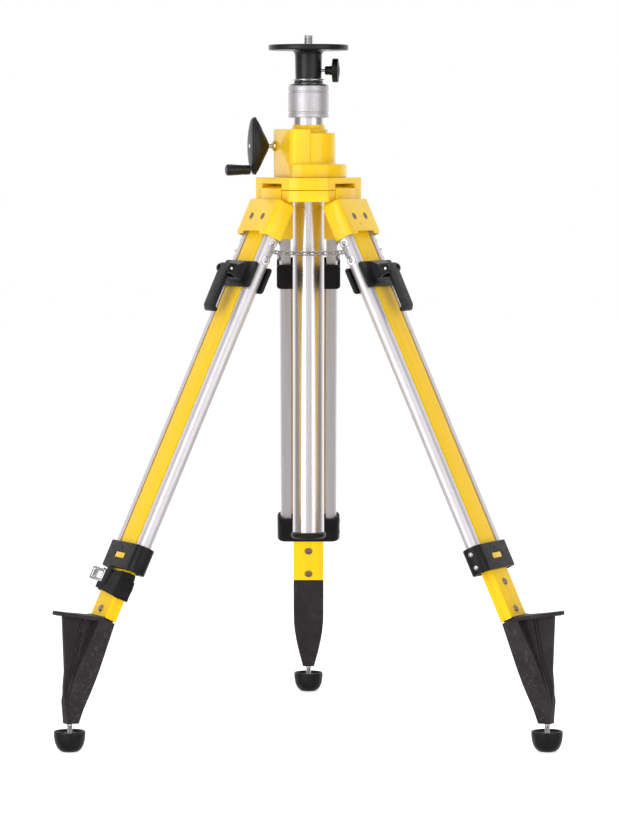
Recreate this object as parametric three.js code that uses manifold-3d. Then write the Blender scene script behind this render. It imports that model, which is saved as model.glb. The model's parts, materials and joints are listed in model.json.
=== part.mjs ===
// An elevating tripod for a levelling instrument: a geared mast in a cast hub, three telescoping
// legs with lever clamps and chains between them, and swivelling rubber feet. Millimetres, +Z up.
import * as THREE from "three";
import { mergeVertices } from "three/addons/utils/BufferGeometryUtils.js";
import { ConvexGeometry } from "three/addons/geometries/ConvexGeometry.js";
import Module from "manifold-3d";

const wasm = await Module();
wasm.setup();

// ---------- driving dimensions ----------
const GAP = 0.3; // clearance between neighbouring pieces
const DEG = Math.PI / 180;
const LEG_AZIMUTHS = { rear: 90, left: 210, right: 330 };
const SPLAY = 25.5 * DEG; // leg's lean from the vertical

// heights above the floor
const STUD_TOP = 1228;
const HEAD_TOP = 1211;
const HEAD_UNDER = 1201;
const SOCKET_BOTTOM = 1152.3;
const RING_BOTTOM = 1148;
const NECK_BOTTOM = 1143.8;
const COLLAR_TOP = 1140.5;
const COLLAR_BOTTOM = 1083.5;
const BOSS_TOP = 1071;
const BLOCK_TOP = 1064;
const DRUM_TOP = 1057;
const CRANK_Z = 1034;
const FLANGE_TOP = 1002.7;
const HUB_TOP = 979;
const HUB_SEAM = 957;
const HUB_BOTTOM = 937;
const MAST_BOTTOM = 353;
const CAP_BOTTOM = 342;

// mast and head radii
const MAST_R = 27.5;
const MAST_WALL = 3.8;
const INNER_MAST_R = 23.2;
const SPIGOT_R = 18;
const HEAD_R = 70;
const SOCKET_R = 23;
const STUD_R = 15.875 / 2;
const COLLAR_R = 35.5;
const MAST_BORE_R = MAST_R + 0.35;

// rack and pinion
const MODULE = 2.5;
const PINION_TEETH = 10;
const PITCH = Math.PI * MODULE;
const PINION_R = (MODULE * PINION_TEETH) / 2;
const RACK_PITCH_LINE = 31.2; // distance of the rack's pitch line from the mast axis
const ADDENDUM = 2;
const DEDENDUM = 2.8;
const RACK_WIDTH = 12;
const RACK_TEETH = 82;
const CRANK_AXIS_W = RACK_PITCH_LINE + PINION_R;
const CRANK_AZIMUTH = 200; // direction that the crank shaft points

// crank, as distances along its shaft from the mast's middle plane
const BLOCK_FACE = 47;
const BUSH_END = 52;
const ARM_HUB = 61;
const ARM_FACE = 94;
const HANDLE_END = 138;
const ARM_HALF_LENGTH = 51;
const HANDLE_OFFSET = 42;

// hub
const HUB_R = 94;
const HUB_FLAT = 75; // distance of the flat over each leg from the mast axis
const SLOT_HALF = 34.6;
const SLOT_TOP = 968.5;
const SLOT_INNER = 42;
const HINGE_R = 62;
const HINGE_Z = 948;
const HINGE_PIN_R = 4;
const HINGE_PIN_HALF = 62;

// leg: stations are distances down the leg from its hinge
const RAIL_HALF_WIDTH = 52;
const RAIL_INNER = 32;
const RAIL_R = 12;
const RAIL_WALL = 2;
const RAIL_TOP = 24.5;
const RAIL_BOTTOM = 710;
const SHOULDER_TOP = 16.5;
const SHOULDER_BOTTOM = 82.5;
const SHOULDER_HALF_WIDTH = 55;
const SHOULDER_IN = -14.5;
const SHOULDER_OUT = 22;
const EYE_STATIONS = [91, 124];
const CLAMP_TOP = 133;
const CLAMP_BOTTOM = 181;
const CLAMP_HALF_WIDTH = 57;
const LEVER_PIVOT = 158;
const LEVER_PIVOT_N = 39;
const LEVER_END = 238;
const LEVER_HALF_WIDTH = 15;
const EAR_OUTER = 20.3;
const COLLAR_START = 665;
const COLLAR_END = 713;
const STRAP_START = 716;
const STRAP_END = 759;
const INNER_HALF_WIDTH = 28;
const INNER_HALF_THICK = 11.5;
const INNER_TOP = 30;
const INNER_BOTTOM = 801;

// foot
const STEM_R_AT = 472; // distance of the foot stem from the mast axis
const STEM_R = 4.5;
const BALL_Z = 61;
const BALL_R = 5.8;
const SOCKET_HOLE_R = 7.5;
const FOOT_BOTTOM = 48;
const FOOT_RIB_HALF = 9;
const STEP_TIP = 500;
const STEP_TOP = 243.5;
const STEP_THICK = 7;
const STEP_TILT = 9.3; // degrees that the step plate falls towards the leg
// Sections of the casting: height, inner and outer distance from the mast axis, half-width at each.
const FOOT_SECTIONS = [
  [230, 394.3, 427, 28, 28],
  [218, 398.8, 431, 28, 27],
  [156, 422.3, 457, 28, 17],
  [136, 429.9, 464, 28, 13],
  [101, 443.1, 475, 23.5, 9],
  [75, 453, 480, 17.5, 8.8],
  [FOOT_BOTTOM, 459.5, 481, 10.5, 8.4],
];
const PAD_R = 27.5;
const PAD_TOP = 35;

// chain
const CHAIN_LINKS = 10;
const CHAIN_SAG = 2.7;
const WIRE = 2.5;
const EYE_CLEARANCE = 5.8; // from a screw's axis to the end of the wire beside it

// ---------- colours ----------
const paint = (name, color, roughness, metalness) => ({ name, color, roughness, metalness });
const YELLOW = paint("yellow", 0xf7cf2b, 0.3, 0.1);
const BLACK = paint("black", 0x2c292c, 0.55, 0);
const DARK = paint("dark", 0x3b393b, 0.45, 0.4);
const ALUMINIUM = paint("aluminium", 0xd6d6da, 0.35, 0.9);
const STEEL = paint("steel", 0xb9b9bd, 0.3, 1);
const BRASS = paint("brass", 0xc9953f, 0.3, 1);
const RUBBER = paint("rubber", 0x242225, 0.85, 0);
const WEBBING = paint("webbing", 0x201f22, 0.95, 0);

// ---------- solids ----------
function toSolid(geometry) {
  const bare = geometry.clone();
  bare.deleteAttribute("normal");
  bare.deleteAttribute("uv");
  const merged = mergeVertices(bare, 1e-4);
  return new wasm.Manifold(
    new wasm.Mesh({
      numProp: 3,
      vertProperties: merged.attributes.position.array,
      triVerts: new Uint32Array(merged.index.array),
    }),
  );
}

function toGeometry(solid) {
  const mesh = solid.getMesh();
  const geometry = new THREE.BufferGeometry();
  geometry.setAttribute("position", new THREE.BufferAttribute(mesh.vertProperties, 3));
  geometry.setIndex(new THREE.BufferAttribute(mesh.triVerts, 1));
  geometry.computeVertexNormals();
  return geometry;
}

const join = (first, ...rest) => rest.reduce((sum, next) => sum.add(next), first);
const cut = (first, ...rest) => rest.reduce((left, next) => left.subtract(next), first);

// A solid of revolution about Z from [radius, z] points in anticlockwise order, starting and
// ending on the axis unless ring is true.
function turned(points, segments = 28, ring = false) {
  const outline = points.map(([r, z]) => new THREE.Vector2(r, z));
  if (ring) outline.push(outline[0].clone());
  return toSolid(new THREE.LatheGeometry(outline, segments).rotateX(Math.PI / 2));
}

// A hollow round piece with flat ends.
function sleeve(inner, outer, z0, z1, segments = 28) {
  return turned(
    [
      [inner, z0],
      [outer, z0],
      [outer, z1],
      [inner, z1],
    ],
    segments,
    true,
  );
}

// A round bar along Z.
function bar(radius, z0, z1, segments = 20) {
  const geometry = new THREE.CylinderGeometry(radius, radius, z1 - z0, segments);
  return toSolid(geometry.rotateX(Math.PI / 2).translate(0, 0, (z0 + z1) / 2));
}

// A round bar along X through (y, z).
function barX(radius, x0, x1, y, z, segments = 16) {
  const geometry = new THREE.CylinderGeometry(radius, radius, x1 - x0, segments);
  return toSolid(geometry.rotateZ(Math.PI / 2).translate((x0 + x1) / 2, y, z));
}

// A round bar along Y through (x, z).
function barY(radius, y0, y1, x, z, segments = 12) {
  const geometry = new THREE.CylinderGeometry(radius, radius, y1 - y0, segments);
  return toSolid(geometry.translate(x, (y0 + y1) / 2, z));
}

function box(x0, x1, y0, y1, z0, z1) {
  const geometry = new THREE.BoxGeometry(x1 - x0, y1 - y0, z1 - z0);
  return toSolid(geometry.translate((x0 + x1) / 2, (y0 + y1) / 2, (z0 + z1) / 2));
}

// Extrudes a Shape drawn in X and Y from z0 to z1.
function prism(shape, z0, z1, curveSegments = 2) {
  const options = { depth: z1 - z0, bevelEnabled: false, curveSegments };
  return toSolid(new THREE.ExtrudeGeometry(shape, options).translate(0, 0, z0));
}

// Extrudes a Shape drawn in X and Z along Y from y0 to y1.
function sidePrism(shape, y0, y1, curveSegments = 2) {
  const options = { depth: y1 - y0, bevelEnabled: false, curveSegments };
  const geometry = new THREE.ExtrudeGeometry(shape, options);
  return toSolid(geometry.rotateX(Math.PI / 2).translate(0, y1, 0));
}

// Extrudes a Shape drawn in Y and Z along X from x0 to x1.
function facePrism(shape, x0, x1, curveSegments = 2) {
  const options = { depth: x1 - x0, bevelEnabled: false, curveSegments };
  const geometry = new THREE.ExtrudeGeometry(shape, options);
  return toSolid(geometry.rotateX(Math.PI / 2).rotateZ(Math.PI / 2).translate(x0, 0, 0));
}

function polygon(points) {
  return new THREE.Shape(points.map(([x, y]) => new THREE.Vector2(x, y)));
}

// A rectangle from (x0, y0) to (x1, y1) with its corners rounded to one radius.
function roundedRect(x0, x1, y0, y1, radius) {
  const shape = new THREE.Shape();
  shape.absarc(x1 - radius, y0 + radius, radius, -Math.PI / 2, 0);
  shape.absarc(x1 - radius, y1 - radius, radius, 0, Math.PI / 2);
  shape.absarc(x0 + radius, y1 - radius, radius, Math.PI / 2, Math.PI);
  shape.absarc(x0 + radius, y0 + radius, radius, Math.PI, 1.5 * Math.PI);
  return shape;
}

function arcPoints(cx, cy, radius, from, to, steps) {
  return Array.from({ length: steps + 1 }, (_, i) => {
    const angle = (from + ((to - from) * i) / steps) * DEG;
    return [cx + radius * Math.cos(angle), cy + radius * Math.sin(angle)];
  });
}

// ---------- scene graph ----------
const tripod = new THREE.Group();

function addPiece(parent, name, solid, look) {
  const material = new THREE.MeshStandardMaterial(look);
  const mesh = new THREE.Mesh(toGeometry(solid), material);
  mesh.name = name;
  parent.add(mesh);
}

// ---------- head ----------
const KNOB_Z = 1166;
const KNOB_AZIMUTH = -5;
const KNOB_HUB = 29;
const KNOB_DISC = 42.5;
const KNOB_END = 55;
const KNOB_R = 21;

function headCasting() {
  const body = turned([
    [0, SOCKET_BOTTOM + 41],
    [SPIGOT_R + GAP, SOCKET_BOTTOM + 41],
    [SPIGOT_R + GAP, SOCKET_BOTTOM],
    [SOCKET_R, SOCKET_BOTTOM],
    ...arcPoints(SOCKET_R + 7.5, HEAD_UNDER - 7.5, 7.5, 180, 90, 4),
    ...arcPoints(HEAD_R - 2.5, HEAD_UNDER + 2.5, 2.5, -90, 0, 3),
    ...arcPoints(HEAD_R - 2.5, HEAD_TOP - 2.5, 2.5, 0, 90, 3),
    [STUD_R + GAP, HEAD_TOP],
    [STUD_R + GAP, HEAD_TOP - 15],
    [0, HEAD_TOP - 15],
  ], 36);
  const screwHole = toSolid(
    new THREE.CylinderGeometry(2.9, 2.9, 20, 16)
      .rotateZ(Math.PI / 2)
      .translate(SOCKET_R, 0, KNOB_Z)
      .rotateZ(KNOB_AZIMUTH * DEG),
  );
  return cut(body, screwHole);
}

function headStud() {
  return turned([
    [0, HEAD_TOP - 15 + GAP],
    [STUD_R, HEAD_TOP - 15 + GAP],
    [STUD_R, STUD_TOP - 1.5],
    [STUD_R - 1.5, STUD_TOP],
    [0, STUD_TOP],
  ], 32);
}

// Thumb screw along X: screw, hub and a disc with seven lobes.
function thumbKnob() {
  const lobes = new THREE.Shape(
    Array.from({ length: 42 }, (_, i) => {
      const angle = (i / 42) * 2 * Math.PI;
      const radius = KNOB_R - 1.4 + 1.4 * Math.cos(7 * angle);
      return new THREE.Vector2(radius * Math.cos(angle), radius * Math.sin(angle));
    }),
  );
  return join(
    barX(2.6, SPIGOT_R + GAP + 0.2, KNOB_HUB + 1, 0, 0, 12),
    barX(8, KNOB_HUB, KNOB_DISC + 1, 0, 0),
    facePrism(lobes, KNOB_DISC, KNOB_END),
  );
}

// ---------- mast ----------
function innerMast() {
  return turned([
    [INNER_MAST_R - 2.7, 560],
    [INNER_MAST_R, 560],
    [INNER_MAST_R, RING_BOTTOM - GAP],
    [SPIGOT_R, RING_BOTTOM - GAP],
    [SPIGOT_R, SOCKET_BOTTOM + 41 - GAP],
    [SPIGOT_R - 3, SOCKET_BOTTOM + 41 - GAP],
    [SPIGOT_R - 3, 1135],
    [INNER_MAST_R - 2.7, 1130],
  ], 28, true);
}

function knurledCollar() {
  const lip = INNER_MAST_R + GAP;
  const groove = (z) => [
    [COLLAR_R, z - 1.5],
    [COLLAR_R - 1.2, z - 0.7],
    [COLLAR_R - 1.2, z + 0.7],
    [COLLAR_R, z + 1.5],
  ];
  return turned([
    [MAST_R + GAP, COLLAR_BOTTOM],
    [COLLAR_R - 1, COLLAR_BOTTOM],
    [COLLAR_R, COLLAR_BOTTOM + 1],
    ...groove(COLLAR_BOTTOM + 9),
    ...groove(COLLAR_TOP - 11.5),
    [COLLAR_R, COLLAR_TOP - 1.5],
    [COLLAR_R - 1.5, COLLAR_TOP - GAP],
    [lip, COLLAR_TOP - GAP],
    [lip, COLLAR_TOP - 14],
    [MAST_R + GAP, COLLAR_TOP - 14],
  ], 28, true);
}

function collarCap() {
  return turned([
    [INNER_MAST_R + GAP, COLLAR_TOP],
    [33, COLLAR_TOP],
    [25.5, COLLAR_TOP + 3],
    [INNER_MAST_R + GAP, COLLAR_TOP + 3],
  ], 28, true);
}

// Outer tube of the mast, with a flat milled along its back for the rack.
function mastTube() {
  const tube = sleeve(MAST_R - MAST_WALL, MAST_R, MAST_BOTTOM + GAP, COLLAR_TOP - 14 - GAP);
  const flat = box(-RACK_WIDTH / 2 - GAP, RACK_WIDTH / 2 + GAP, MAST_R - 1.6, 40, 395, 1073);
  return cut(tube, flat);
}

// Rack in the mast frame, its teeth facing +Y; a gap between teeth lies at the crank's height.
function mastRack() {
  const back = MAST_R - 1.3;
  const root = RACK_PITCH_LINE - DEDENDUM;
  const tip = RACK_PITCH_LINE + ADDENDUM;
  const first = CRANK_Z - PITCH * (RACK_TEETH - 5 + 0.5);
  const teeth = Array.from({ length: RACK_TEETH }, (_, i) => {
    const z = first + i * PITCH;
    return [
      [root, z - 2.2],
      [tip, z - 0.7],
      [tip, z + 0.7],
      [root, z + 2.2],
    ];
  }).flat();
  const top = first + (RACK_TEETH - 1) * PITCH + 4;
  const outline = [[back, top], [back, first - 4], [root, first - 4], ...teeth, [root, top]];
  return facePrism(polygon(outline), -RACK_WIDTH / 2, RACK_WIDTH / 2);
}

function mastEndCap() {
  return turned([
    [0, CAP_BOTTOM],
    [28, CAP_BOTTOM],
    ...arcPoints(28, CAP_BOTTOM + 3, 3, -60, 0, 2),
    [MAST_R + 0.5, MAST_BOTTOM],
    [MAST_R - MAST_WALL - GAP, MAST_BOTTOM],
    [MAST_R - MAST_WALL - GAP, MAST_BOTTOM + 15],
    [0, MAST_BOTTOM + 15],
  ]);
}

// ---------- gearbox, in a frame whose +X runs along the crank shaft and +Y to the rack ----------
function gearboxHousing() {
  const drum = turned([
    [0, HUB_TOP + 0.15],
    [67.4, HUB_TOP + 0.15],
    ...arcPoints(63.9, FLANGE_TOP - 3.5, 3.5, 0, 90, 4),
    [51.6, FLANGE_TOP],
    ...arcPoints(51.6, FLANGE_TOP + 4, 4, 270, 180, 3),
    ...arcPoints(46.1, DRUM_TOP - 1.5, 1.5, 0, 90, 2),
    [34, DRUM_TOP],
    [34, DRUM_TOP + 5],
    ...arcPoints(34, DRUM_TOP + 10.5, 5.5, 270, 180, 3),
    [28.5, BOSS_TOP],
    [0, BOSS_TOP],
  ], 36);
  const plan = new THREE.Shape();
  plan.moveTo(12, -42);
  plan.lineTo(BLOCK_FACE - 20, -42);
  plan.absarc(BLOCK_FACE - 20, -22, 20, -Math.PI / 2, 0);
  plan.lineTo(BLOCK_FACE, 46);
  plan.absarc(BLOCK_FACE - 14, 47, 14, 0, Math.PI / 2);
  plan.lineTo(-5, 61);
  plan.absarc(-5, 49, 12, Math.PI / 2, Math.PI);
  plan.lineTo(-17, 12);
  plan.lineTo(12, 12);
  const block = prism(plan, HUB_TOP + 0.15, BLOCK_TOP, 3);
  return cut(
    join(drum, block),
    bar(MAST_BORE_R, HUB_TOP - 5, BOSS_TOP + 5, 28),
    rackWay(HUB_TOP - 5, BOSS_TOP + 5),
    barX(PINION_R + ADDENDUM + 0.8, -11, 11, CRANK_AXIS_W, CRANK_Z, 20),
    barX(4.35, -14, BLOCK_FACE + 1, CRANK_AXIS_W, CRANK_Z),
    barX(7.8, 30, BLOCK_FACE + 1, CRANK_AXIS_W, CRANK_Z),
  );
}

// Keyway that lets the rack through the gearbox and the hub.
function rackWay(z0, z1) {
  return box(-RACK_WIDTH / 2 - 0.9, RACK_WIDTH / 2 + 0.9, 0, RACK_PITCH_LINE + ADDENDUM + 0.7, z0, z1);
}

function pinionShaft() {
  const root = PINION_R - DEDENDUM;
  const outline = Array.from({ length: PINION_TEETH }, (_, i) => {
    const angle = (i / PINION_TEETH) * 360;
    const corner = (radius, half) => {
      const turn = (angle - 180) * DEG + half / radius;
      return [radius * Math.cos(turn), radius * Math.sin(turn)];
    };
    return [
      corner(root, -1.9),
      corner(PINION_R + ADDENDUM, -0.7),
      corner(PINION_R + ADDENDUM, 0.7),
      corner(root, 1.9),
    ];
  }).flat();
  const gear = facePrism(polygon(outline), -8, 8);
  return join(gear, barX(4, -13.7, ARM_HUB + 5, 0, 0)).translate([0, CRANK_AXIS_W, CRANK_Z]);
}

function crankBush() {
  const bush = barX(7.5, 30 + GAP, BUSH_END, CRANK_AXIS_W, CRANK_Z);
  return cut(bush, barX(4.3, 29, BUSH_END + 1, CRANK_AXIS_W, CRANK_Z));
}

// Double-ended arm that narrows to its hub, with the pin that carries the handle.
function crankArm() {
  const circle = (x, z, radius, steps) =>
    arcPoints(0, z, radius, 0, 360, steps).map(([y, height]) => new THREE.Vector3(x, y, height));
  const end = ARM_HALF_LENGTH - 10;
  const hull = new ConvexGeometry([
    ...circle(ARM_HUB, 0, 8, 16),
    ...circle(ARM_FACE, end, 10, 16),
    ...circle(ARM_FACE, -end, 10, 16),
    ...circle(ARM_FACE, 0, 19.5, 24),
    ...circle(ARM_FACE - 6, end, 10, 16),
    ...circle(ARM_FACE - 6, -end, 10, 16),
  ]);
  const arm = toSolid(hull);
  const bore = barX(4.3, ARM_HUB - 1, ARM_HUB + 5 + GAP, 0, 0);
  const pin = barX(3, ARM_FACE - 1, HANDLE_END - 8, 0, -HANDLE_OFFSET, 16);
  return join(cut(arm, bore), pin).translate([0, CRANK_AXIS_W, CRANK_Z]);
}

function crankHandle() {
  const start = ARM_FACE + GAP;
  const grip = turned([
    [3.3, start],
    [8, start],
    [8.6, start + 12],
    [10, HANDLE_END - 8],
    [10, HANDLE_END - 3],
    [7.5, HANDLE_END],
    [0, HANDLE_END],
    [0, HANDLE_END - 8 + GAP],
    [3.3, HANDLE_END - 8 + GAP],
    [3.3, start],
  ], 28);
  return grip.rotate([0, 90, 0]).translate([0, CRANK_AXIS_W, CRANK_Z - HANDLE_OFFSET]);
}

// ---------- hub ----------
// Round plate with a flat over each leg.
function hubBlank(z0, z1) {
  const flats = Object.values(LEG_AZIMUTHS).map((azimuth) =>
    box(HUB_FLAT, HUB_R + 5, -HUB_R, HUB_R, z0 - 1, z1 + 1).rotate([0, 0, azimuth]),
  );
  const slots = Object.values(LEG_AZIMUTHS).map((azimuth) =>
    box(SLOT_INNER, HUB_R + 5, -SLOT_HALF, SLOT_HALF, HUB_BOTTOM - 1, SLOT_TOP).rotate([0, 0, azimuth]),
  );
  const key = rackWay(z0 - 1, z1 + 1).rotate([0, 0, CRANK_AZIMUTH + 180]);
  return cut(bar(HUB_R, z0, z1, 54), ...flats, ...slots, bar(29, z0 - 1, z1 + 1, 28), key);
}

function hubBase() {
  const holes = Object.values(LEG_AZIMUTHS).map((azimuth) =>
    barY(HINGE_PIN_R + GAP, -HINGE_PIN_HALF - GAP, HINGE_PIN_HALF + GAP, HINGE_R, HINGE_Z)
      .rotate([0, 0, azimuth]),
  );
  return cut(hubBlank(HUB_BOTTOM, HUB_SEAM - 0.15), ...holes);
}

// ---------- leg, in its own frame: +X out of the leg's face, +Y across it, +Z up along it ----------
// Cast shoulder: a box over the rails' tops with a tongue for the hinge.
function shoulder() {
  const half = SHOULDER_HALF_WIDTH;
  const shell = prism(
    roundedRect(SHOULDER_IN, SHOULDER_OUT, -half, half, 9),
    -SHOULDER_BOTTOM,
    -SHOULDER_TOP,
    2,
  );
  const inside = prism(
    roundedRect(-RAIL_R - GAP, SHOULDER_OUT - 3, -RAIL_HALF_WIDTH - GAP, RAIL_HALF_WIDTH + GAP, 4),
    -SHOULDER_BOTTOM - 1,
    -RAIL_TOP + GAP,
    1,
  );
  const ribs = [-1, 1].map((side) =>
    box(RAIL_R + GAP, SHOULDER_OUT - 2, side * 42 - 2, side * 42 + 2, -SHOULDER_BOTTOM + 8, -22),
  );
  const arch = box(SHOULDER_OUT - 6, SHOULDER_OUT + 1, -30, 30, -SHOULDER_BOTTOM - 1, 5 - SHOULDER_BOTTOM);
  const plugs = [-19.5, 19.5].map((y) => barX(7, SHOULDER_OUT - 1.2, SHOULDER_OUT + 1, y, -50, 16));
  const toLeg = ([r, z]) => [
    r * Math.cos(SPLAY) + z * Math.sin(SPLAY),
    -r * Math.sin(SPLAY) + z * Math.cos(SPLAY),
  ];
  const tongueOutline = polygon([
    [-13, -SHOULDER_TOP - 1],
    [13, -SHOULDER_TOP - 1],
    toLeg([14.5, -9]),
    toLeg([14.5, 12]),
    ...arcPoints(0, 0, 16, 45, 205, 8),
  ]);
  const tongue = sidePrism(tongueOutline, -SLOT_HALF + 0.6, SLOT_HALF - 0.6);
  return cut(
    join(cut(shell, inside), ...ribs, tongue),
    arch,
    ...plugs,
    barY(HINGE_PIN_R + GAP, -40, 40, 0, 0),
  );
}

// Section of a rail on the +Y side: straight inner face and round outer side.
function railSection(inset) {
  const shape = new THREE.Shape();
  const radius = RAIL_R - inset;
  shape.moveTo(-radius, RAIL_INNER + inset);
  shape.lineTo(radius, RAIL_INNER + inset);
  shape.absarc(0, RAIL_HALF_WIDTH - RAIL_R, radius, 0, Math.PI);
  return shape;
}

// Hollow rail with the two screws that hold the chain's wire at its side.
function rail() {
  const section = railSection(0);
  section.holes.push(railSection(RAIL_WALL));
  const tube = prism(section, -RAIL_BOTTOM, -RAIL_TOP, 4);
  const screws = EYE_STATIONS.flatMap((station) => [
    barY(8, RAIL_HALF_WIDTH - 0.8, RAIL_HALF_WIDTH + 1.4, 0, -station, 12),
    barY(4, RAIL_HALF_WIDTH - 0.8, RAIL_HALF_WIDTH + 6, 0, -station, 10),
  ]);
  return join(tube, ...screws);
}

// Clamp: plates over the leg's two faces, webs between the rails and the ears of the lever.
function clampBody() {
  const plate = prism(
    roundedRect(-CLAMP_BOTTOM, -CLAMP_TOP, -CLAMP_HALF_WIDTH, CLAMP_HALF_WIDTH, 6),
    0,
    5,
  ).rotate([0, -90, 0]);
  const front = plate.translate([RAIL_R + GAP + 5, 0, 0]);
  const rear = plate.translate([-RAIL_R - GAP, 0, 0]);
  const webs = [-1, 1].map((side) =>
    box(-RAIL_R - 1, RAIL_R + 1, side * 30 - 1.4, side * 30 + 1.4, -CLAMP_BOTTOM + 6, -CLAMP_TOP - 6),
  );
  const face = RAIL_R + GAP + 4;
  const earOutline = polygon([
    [face, -CLAMP_BOTTOM + 3],
    [face + 6, -CLAMP_BOTTOM + 12],
    ...arcPoints(LEVER_PIVOT_N, -LEVER_PIVOT, 8.5, -60, 120, 8),
    [face + 9, -CLAMP_TOP - 7],
    [face, -CLAMP_TOP - 2],
  ]);
  const ears = [-1, 1].map((side) =>
    sidePrism(
      earOutline,
      Math.min(side * (LEVER_HALF_WIDTH + GAP), side * EAR_OUTER),
      Math.max(side * (LEVER_HALF_WIDTH + GAP), side * EAR_OUTER),
    ),
  );
  const saddle = box(face, face + 8, -LEVER_HALF_WIDTH - 1, LEVER_HALF_WIDTH + 1, -176, -138);
  const hole = barY(3.3, -EAR_OUTER - 1, EAR_OUTER + 1, LEVER_PIVOT_N, -LEVER_PIVOT, 16);
  return cut(join(front, rear, ...webs, ...ears, saddle), hole);
}

// Clamp lever: hub on the pin, straight grip and a tip hooked towards the leg.
function clampLever() {
  const outer = LEVER_PIVOT_N + 6.5;
  const inner = LEVER_PIVOT_N - 0.5;
  const outline = polygon([
    ...arcPoints(LEVER_PIVOT_N, -LEVER_PIVOT, 8, 45, 290, 12),
    [inner, -LEVER_PIVOT - 14],
    [inner, -LEVER_END + 9],
    [inner - 6, -LEVER_END + 6],
    [inner - 7, -LEVER_END + 2],
    [inner - 4, -LEVER_END],
    [outer - 5, -LEVER_END],
    [outer - 1, -LEVER_END + 3.5],
    [outer, -LEVER_END + 9],
    [outer, -LEVER_PIVOT - 2],
  ]);
  const grip = sidePrism(outline, -LEVER_HALF_WIDTH, LEVER_HALF_WIDTH);
  return cut(grip, barY(3.3, -20, 20, LEVER_PIVOT_N, -LEVER_PIVOT, 16));
}

const leverPin = () =>
  barY(3, -EAR_OUTER - 0.6, EAR_OUTER + 0.6, LEVER_PIVOT_N, -LEVER_PIVOT, 16);

// Collar round the rails' lower ends, with a window onto the inner leg.
function guideCollar() {
  const outline = roundedRect(-18, 18, -58, 58, 15);
  const inside = RAIL_R + GAP;
  const half = RAIL_HALF_WIDTH + GAP;
  outline.holes.push(roundedRect(-inside, inside, -half, half, RAIL_R + 0.1));
  const ring = prism(outline, -COLLAR_END, -COLLAR_START, 3);
  return cut(ring, box(10, 20, -17, 17, -695, -684));
}

// Inner leg: a box tube with a groove down each side.
function innerLeg() {
  const x = INNER_HALF_THICK;
  const y = INNER_HALF_WIDTH;
  const outline = new THREE.Shape();
  outline.absarc(x - 3, y - 3, 3, 0, Math.PI / 2);
  outline.lineTo(4, y);
  outline.lineTo(4, y - 1.6);
  outline.lineTo(-4, y - 1.6);
  outline.lineTo(-4, y);
  outline.absarc(3 - x, y - 3, 3, Math.PI / 2, Math.PI);
  outline.absarc(3 - x, 3 - y, 3, Math.PI, 1.5 * Math.PI);
  outline.lineTo(-4, -y);
  outline.lineTo(-4, 1.6 - y);
  outline.lineTo(4, 1.6 - y);
  outline.lineTo(4, -y);
  outline.absarc(x - 3, 3 - y, 3, -Math.PI / 2, 0);
  outline.holes.push(roundedRect(2 - x, x - 2, 4 - y, y - 4, 1));
  return prism(outline, -INNER_BOTTOM, -INNER_TOP, 1);
}

// ---------- foot, in a frame whose +X runs out from the mast axis, +Z is up ----------
function footCasting() {
  const corners = ([z, inner, outer, innerHalf, outerHalf]) => [
    [inner, -innerHalf, z],
    [inner, innerHalf, z],
    [outer, outerHalf, z],
    [outer, -outerHalf, z],
  ];
  const slabs = FOOT_SECTIONS.slice(1).map((section, i) =>
    wasm.Manifold.hull([...corners(FOOT_SECTIONS[i]), ...corners(section)]),
  );
  const ribOutline = polygon([
    [420, 228],
    [470, 70],
    [484, 70],
    [484, 88],
    [477, 115],
    [464, 149],
    [447, 228],
  ]);
  const webOutline = polygon([
    [412, 226],
    [470, 60],
    [481, 60],
    [484, 90],
    [484, 112],
    [481, 139],
    [485, 233],
  ]);
  const plateOutline = polygon([
    [410, -INNER_HALF_WIDTH],
    [425, -INNER_HALF_WIDTH],
    [484, -8],
    [STEP_TIP, -8],
    [STEP_TIP, 8],
    [484, 8],
    [425, INNER_HALF_WIDTH],
    [410, INNER_HALF_WIDTH],
  ]);
  const plate = prism(plateOutline, -STEP_THICK, 0)
    .translate([-STEP_TIP, 0, 0])
    .rotate([0, -STEP_TILT, 0])
    .translate([STEP_TIP, 0, STEP_TOP]);
  const aboveLeg = box(-60, 0, -INNER_HALF_WIDTH - 1, INNER_HALF_WIDTH + 1, 0, 60)
    .rotate([0, -SPLAY / DEG, 0])
    .translate([418.8, 0, 227.5]);
  const tongue = box(-8.4, 8.4, -23, 23, -INNER_BOTTOM - 4, -745)
    .rotate([0, -SPLAY / DEG, 0])
    .translate([HINGE_R, 0, HINGE_Z]);
  const socket = bar(SOCKET_HOLE_R, FOOT_BOTTOM - 1, BALL_Z + 7, 20).translate([STEM_R_AT, 0, 0]);
  const shell = join(
    ...slabs,
    sidePrism(ribOutline, -FOOT_RIB_HALF, FOOT_RIB_HALF),
    sidePrism(webOutline, -3, 3),
    plate,
  );
  return cut(join(cut(shell, aboveLeg), tongue), socket);
}

function footStem() {
  const ball = turned([
    [0, PAD_TOP - 16],
    [STEM_R, PAD_TOP - 16],
    [STEM_R, BALL_Z - 4],
    ...arcPoints(0, BALL_Z, BALL_R, -30, 90, 4).slice(0, -1),
    [0, BALL_Z + BALL_R],
  ], 14);
  return ball.translate([STEM_R_AT, 0, 0]);
}

// Rubber pad: a cup with a dished top and a narrow flat sole.
function footPad() {
  const socket = STEM_R + GAP;
  const pad = turned([
    [0, 0],
    [14, 0],
    [20, 4.5],
    [25, 13],
    [PAD_R, 24],
    [PAD_R, PAD_TOP - 2],
    [PAD_R - 2, PAD_TOP],
    [PAD_R - 6, PAD_TOP - 1],
    [9, PAD_TOP - 5],
    [socket, PAD_TOP - 5],
    [socket, PAD_TOP - 16 - GAP],
    [0, PAD_TOP - 16 - GAP],
  ], 18);
  return pad.translate([STEM_R_AT, 0, 0]);
}

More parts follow.
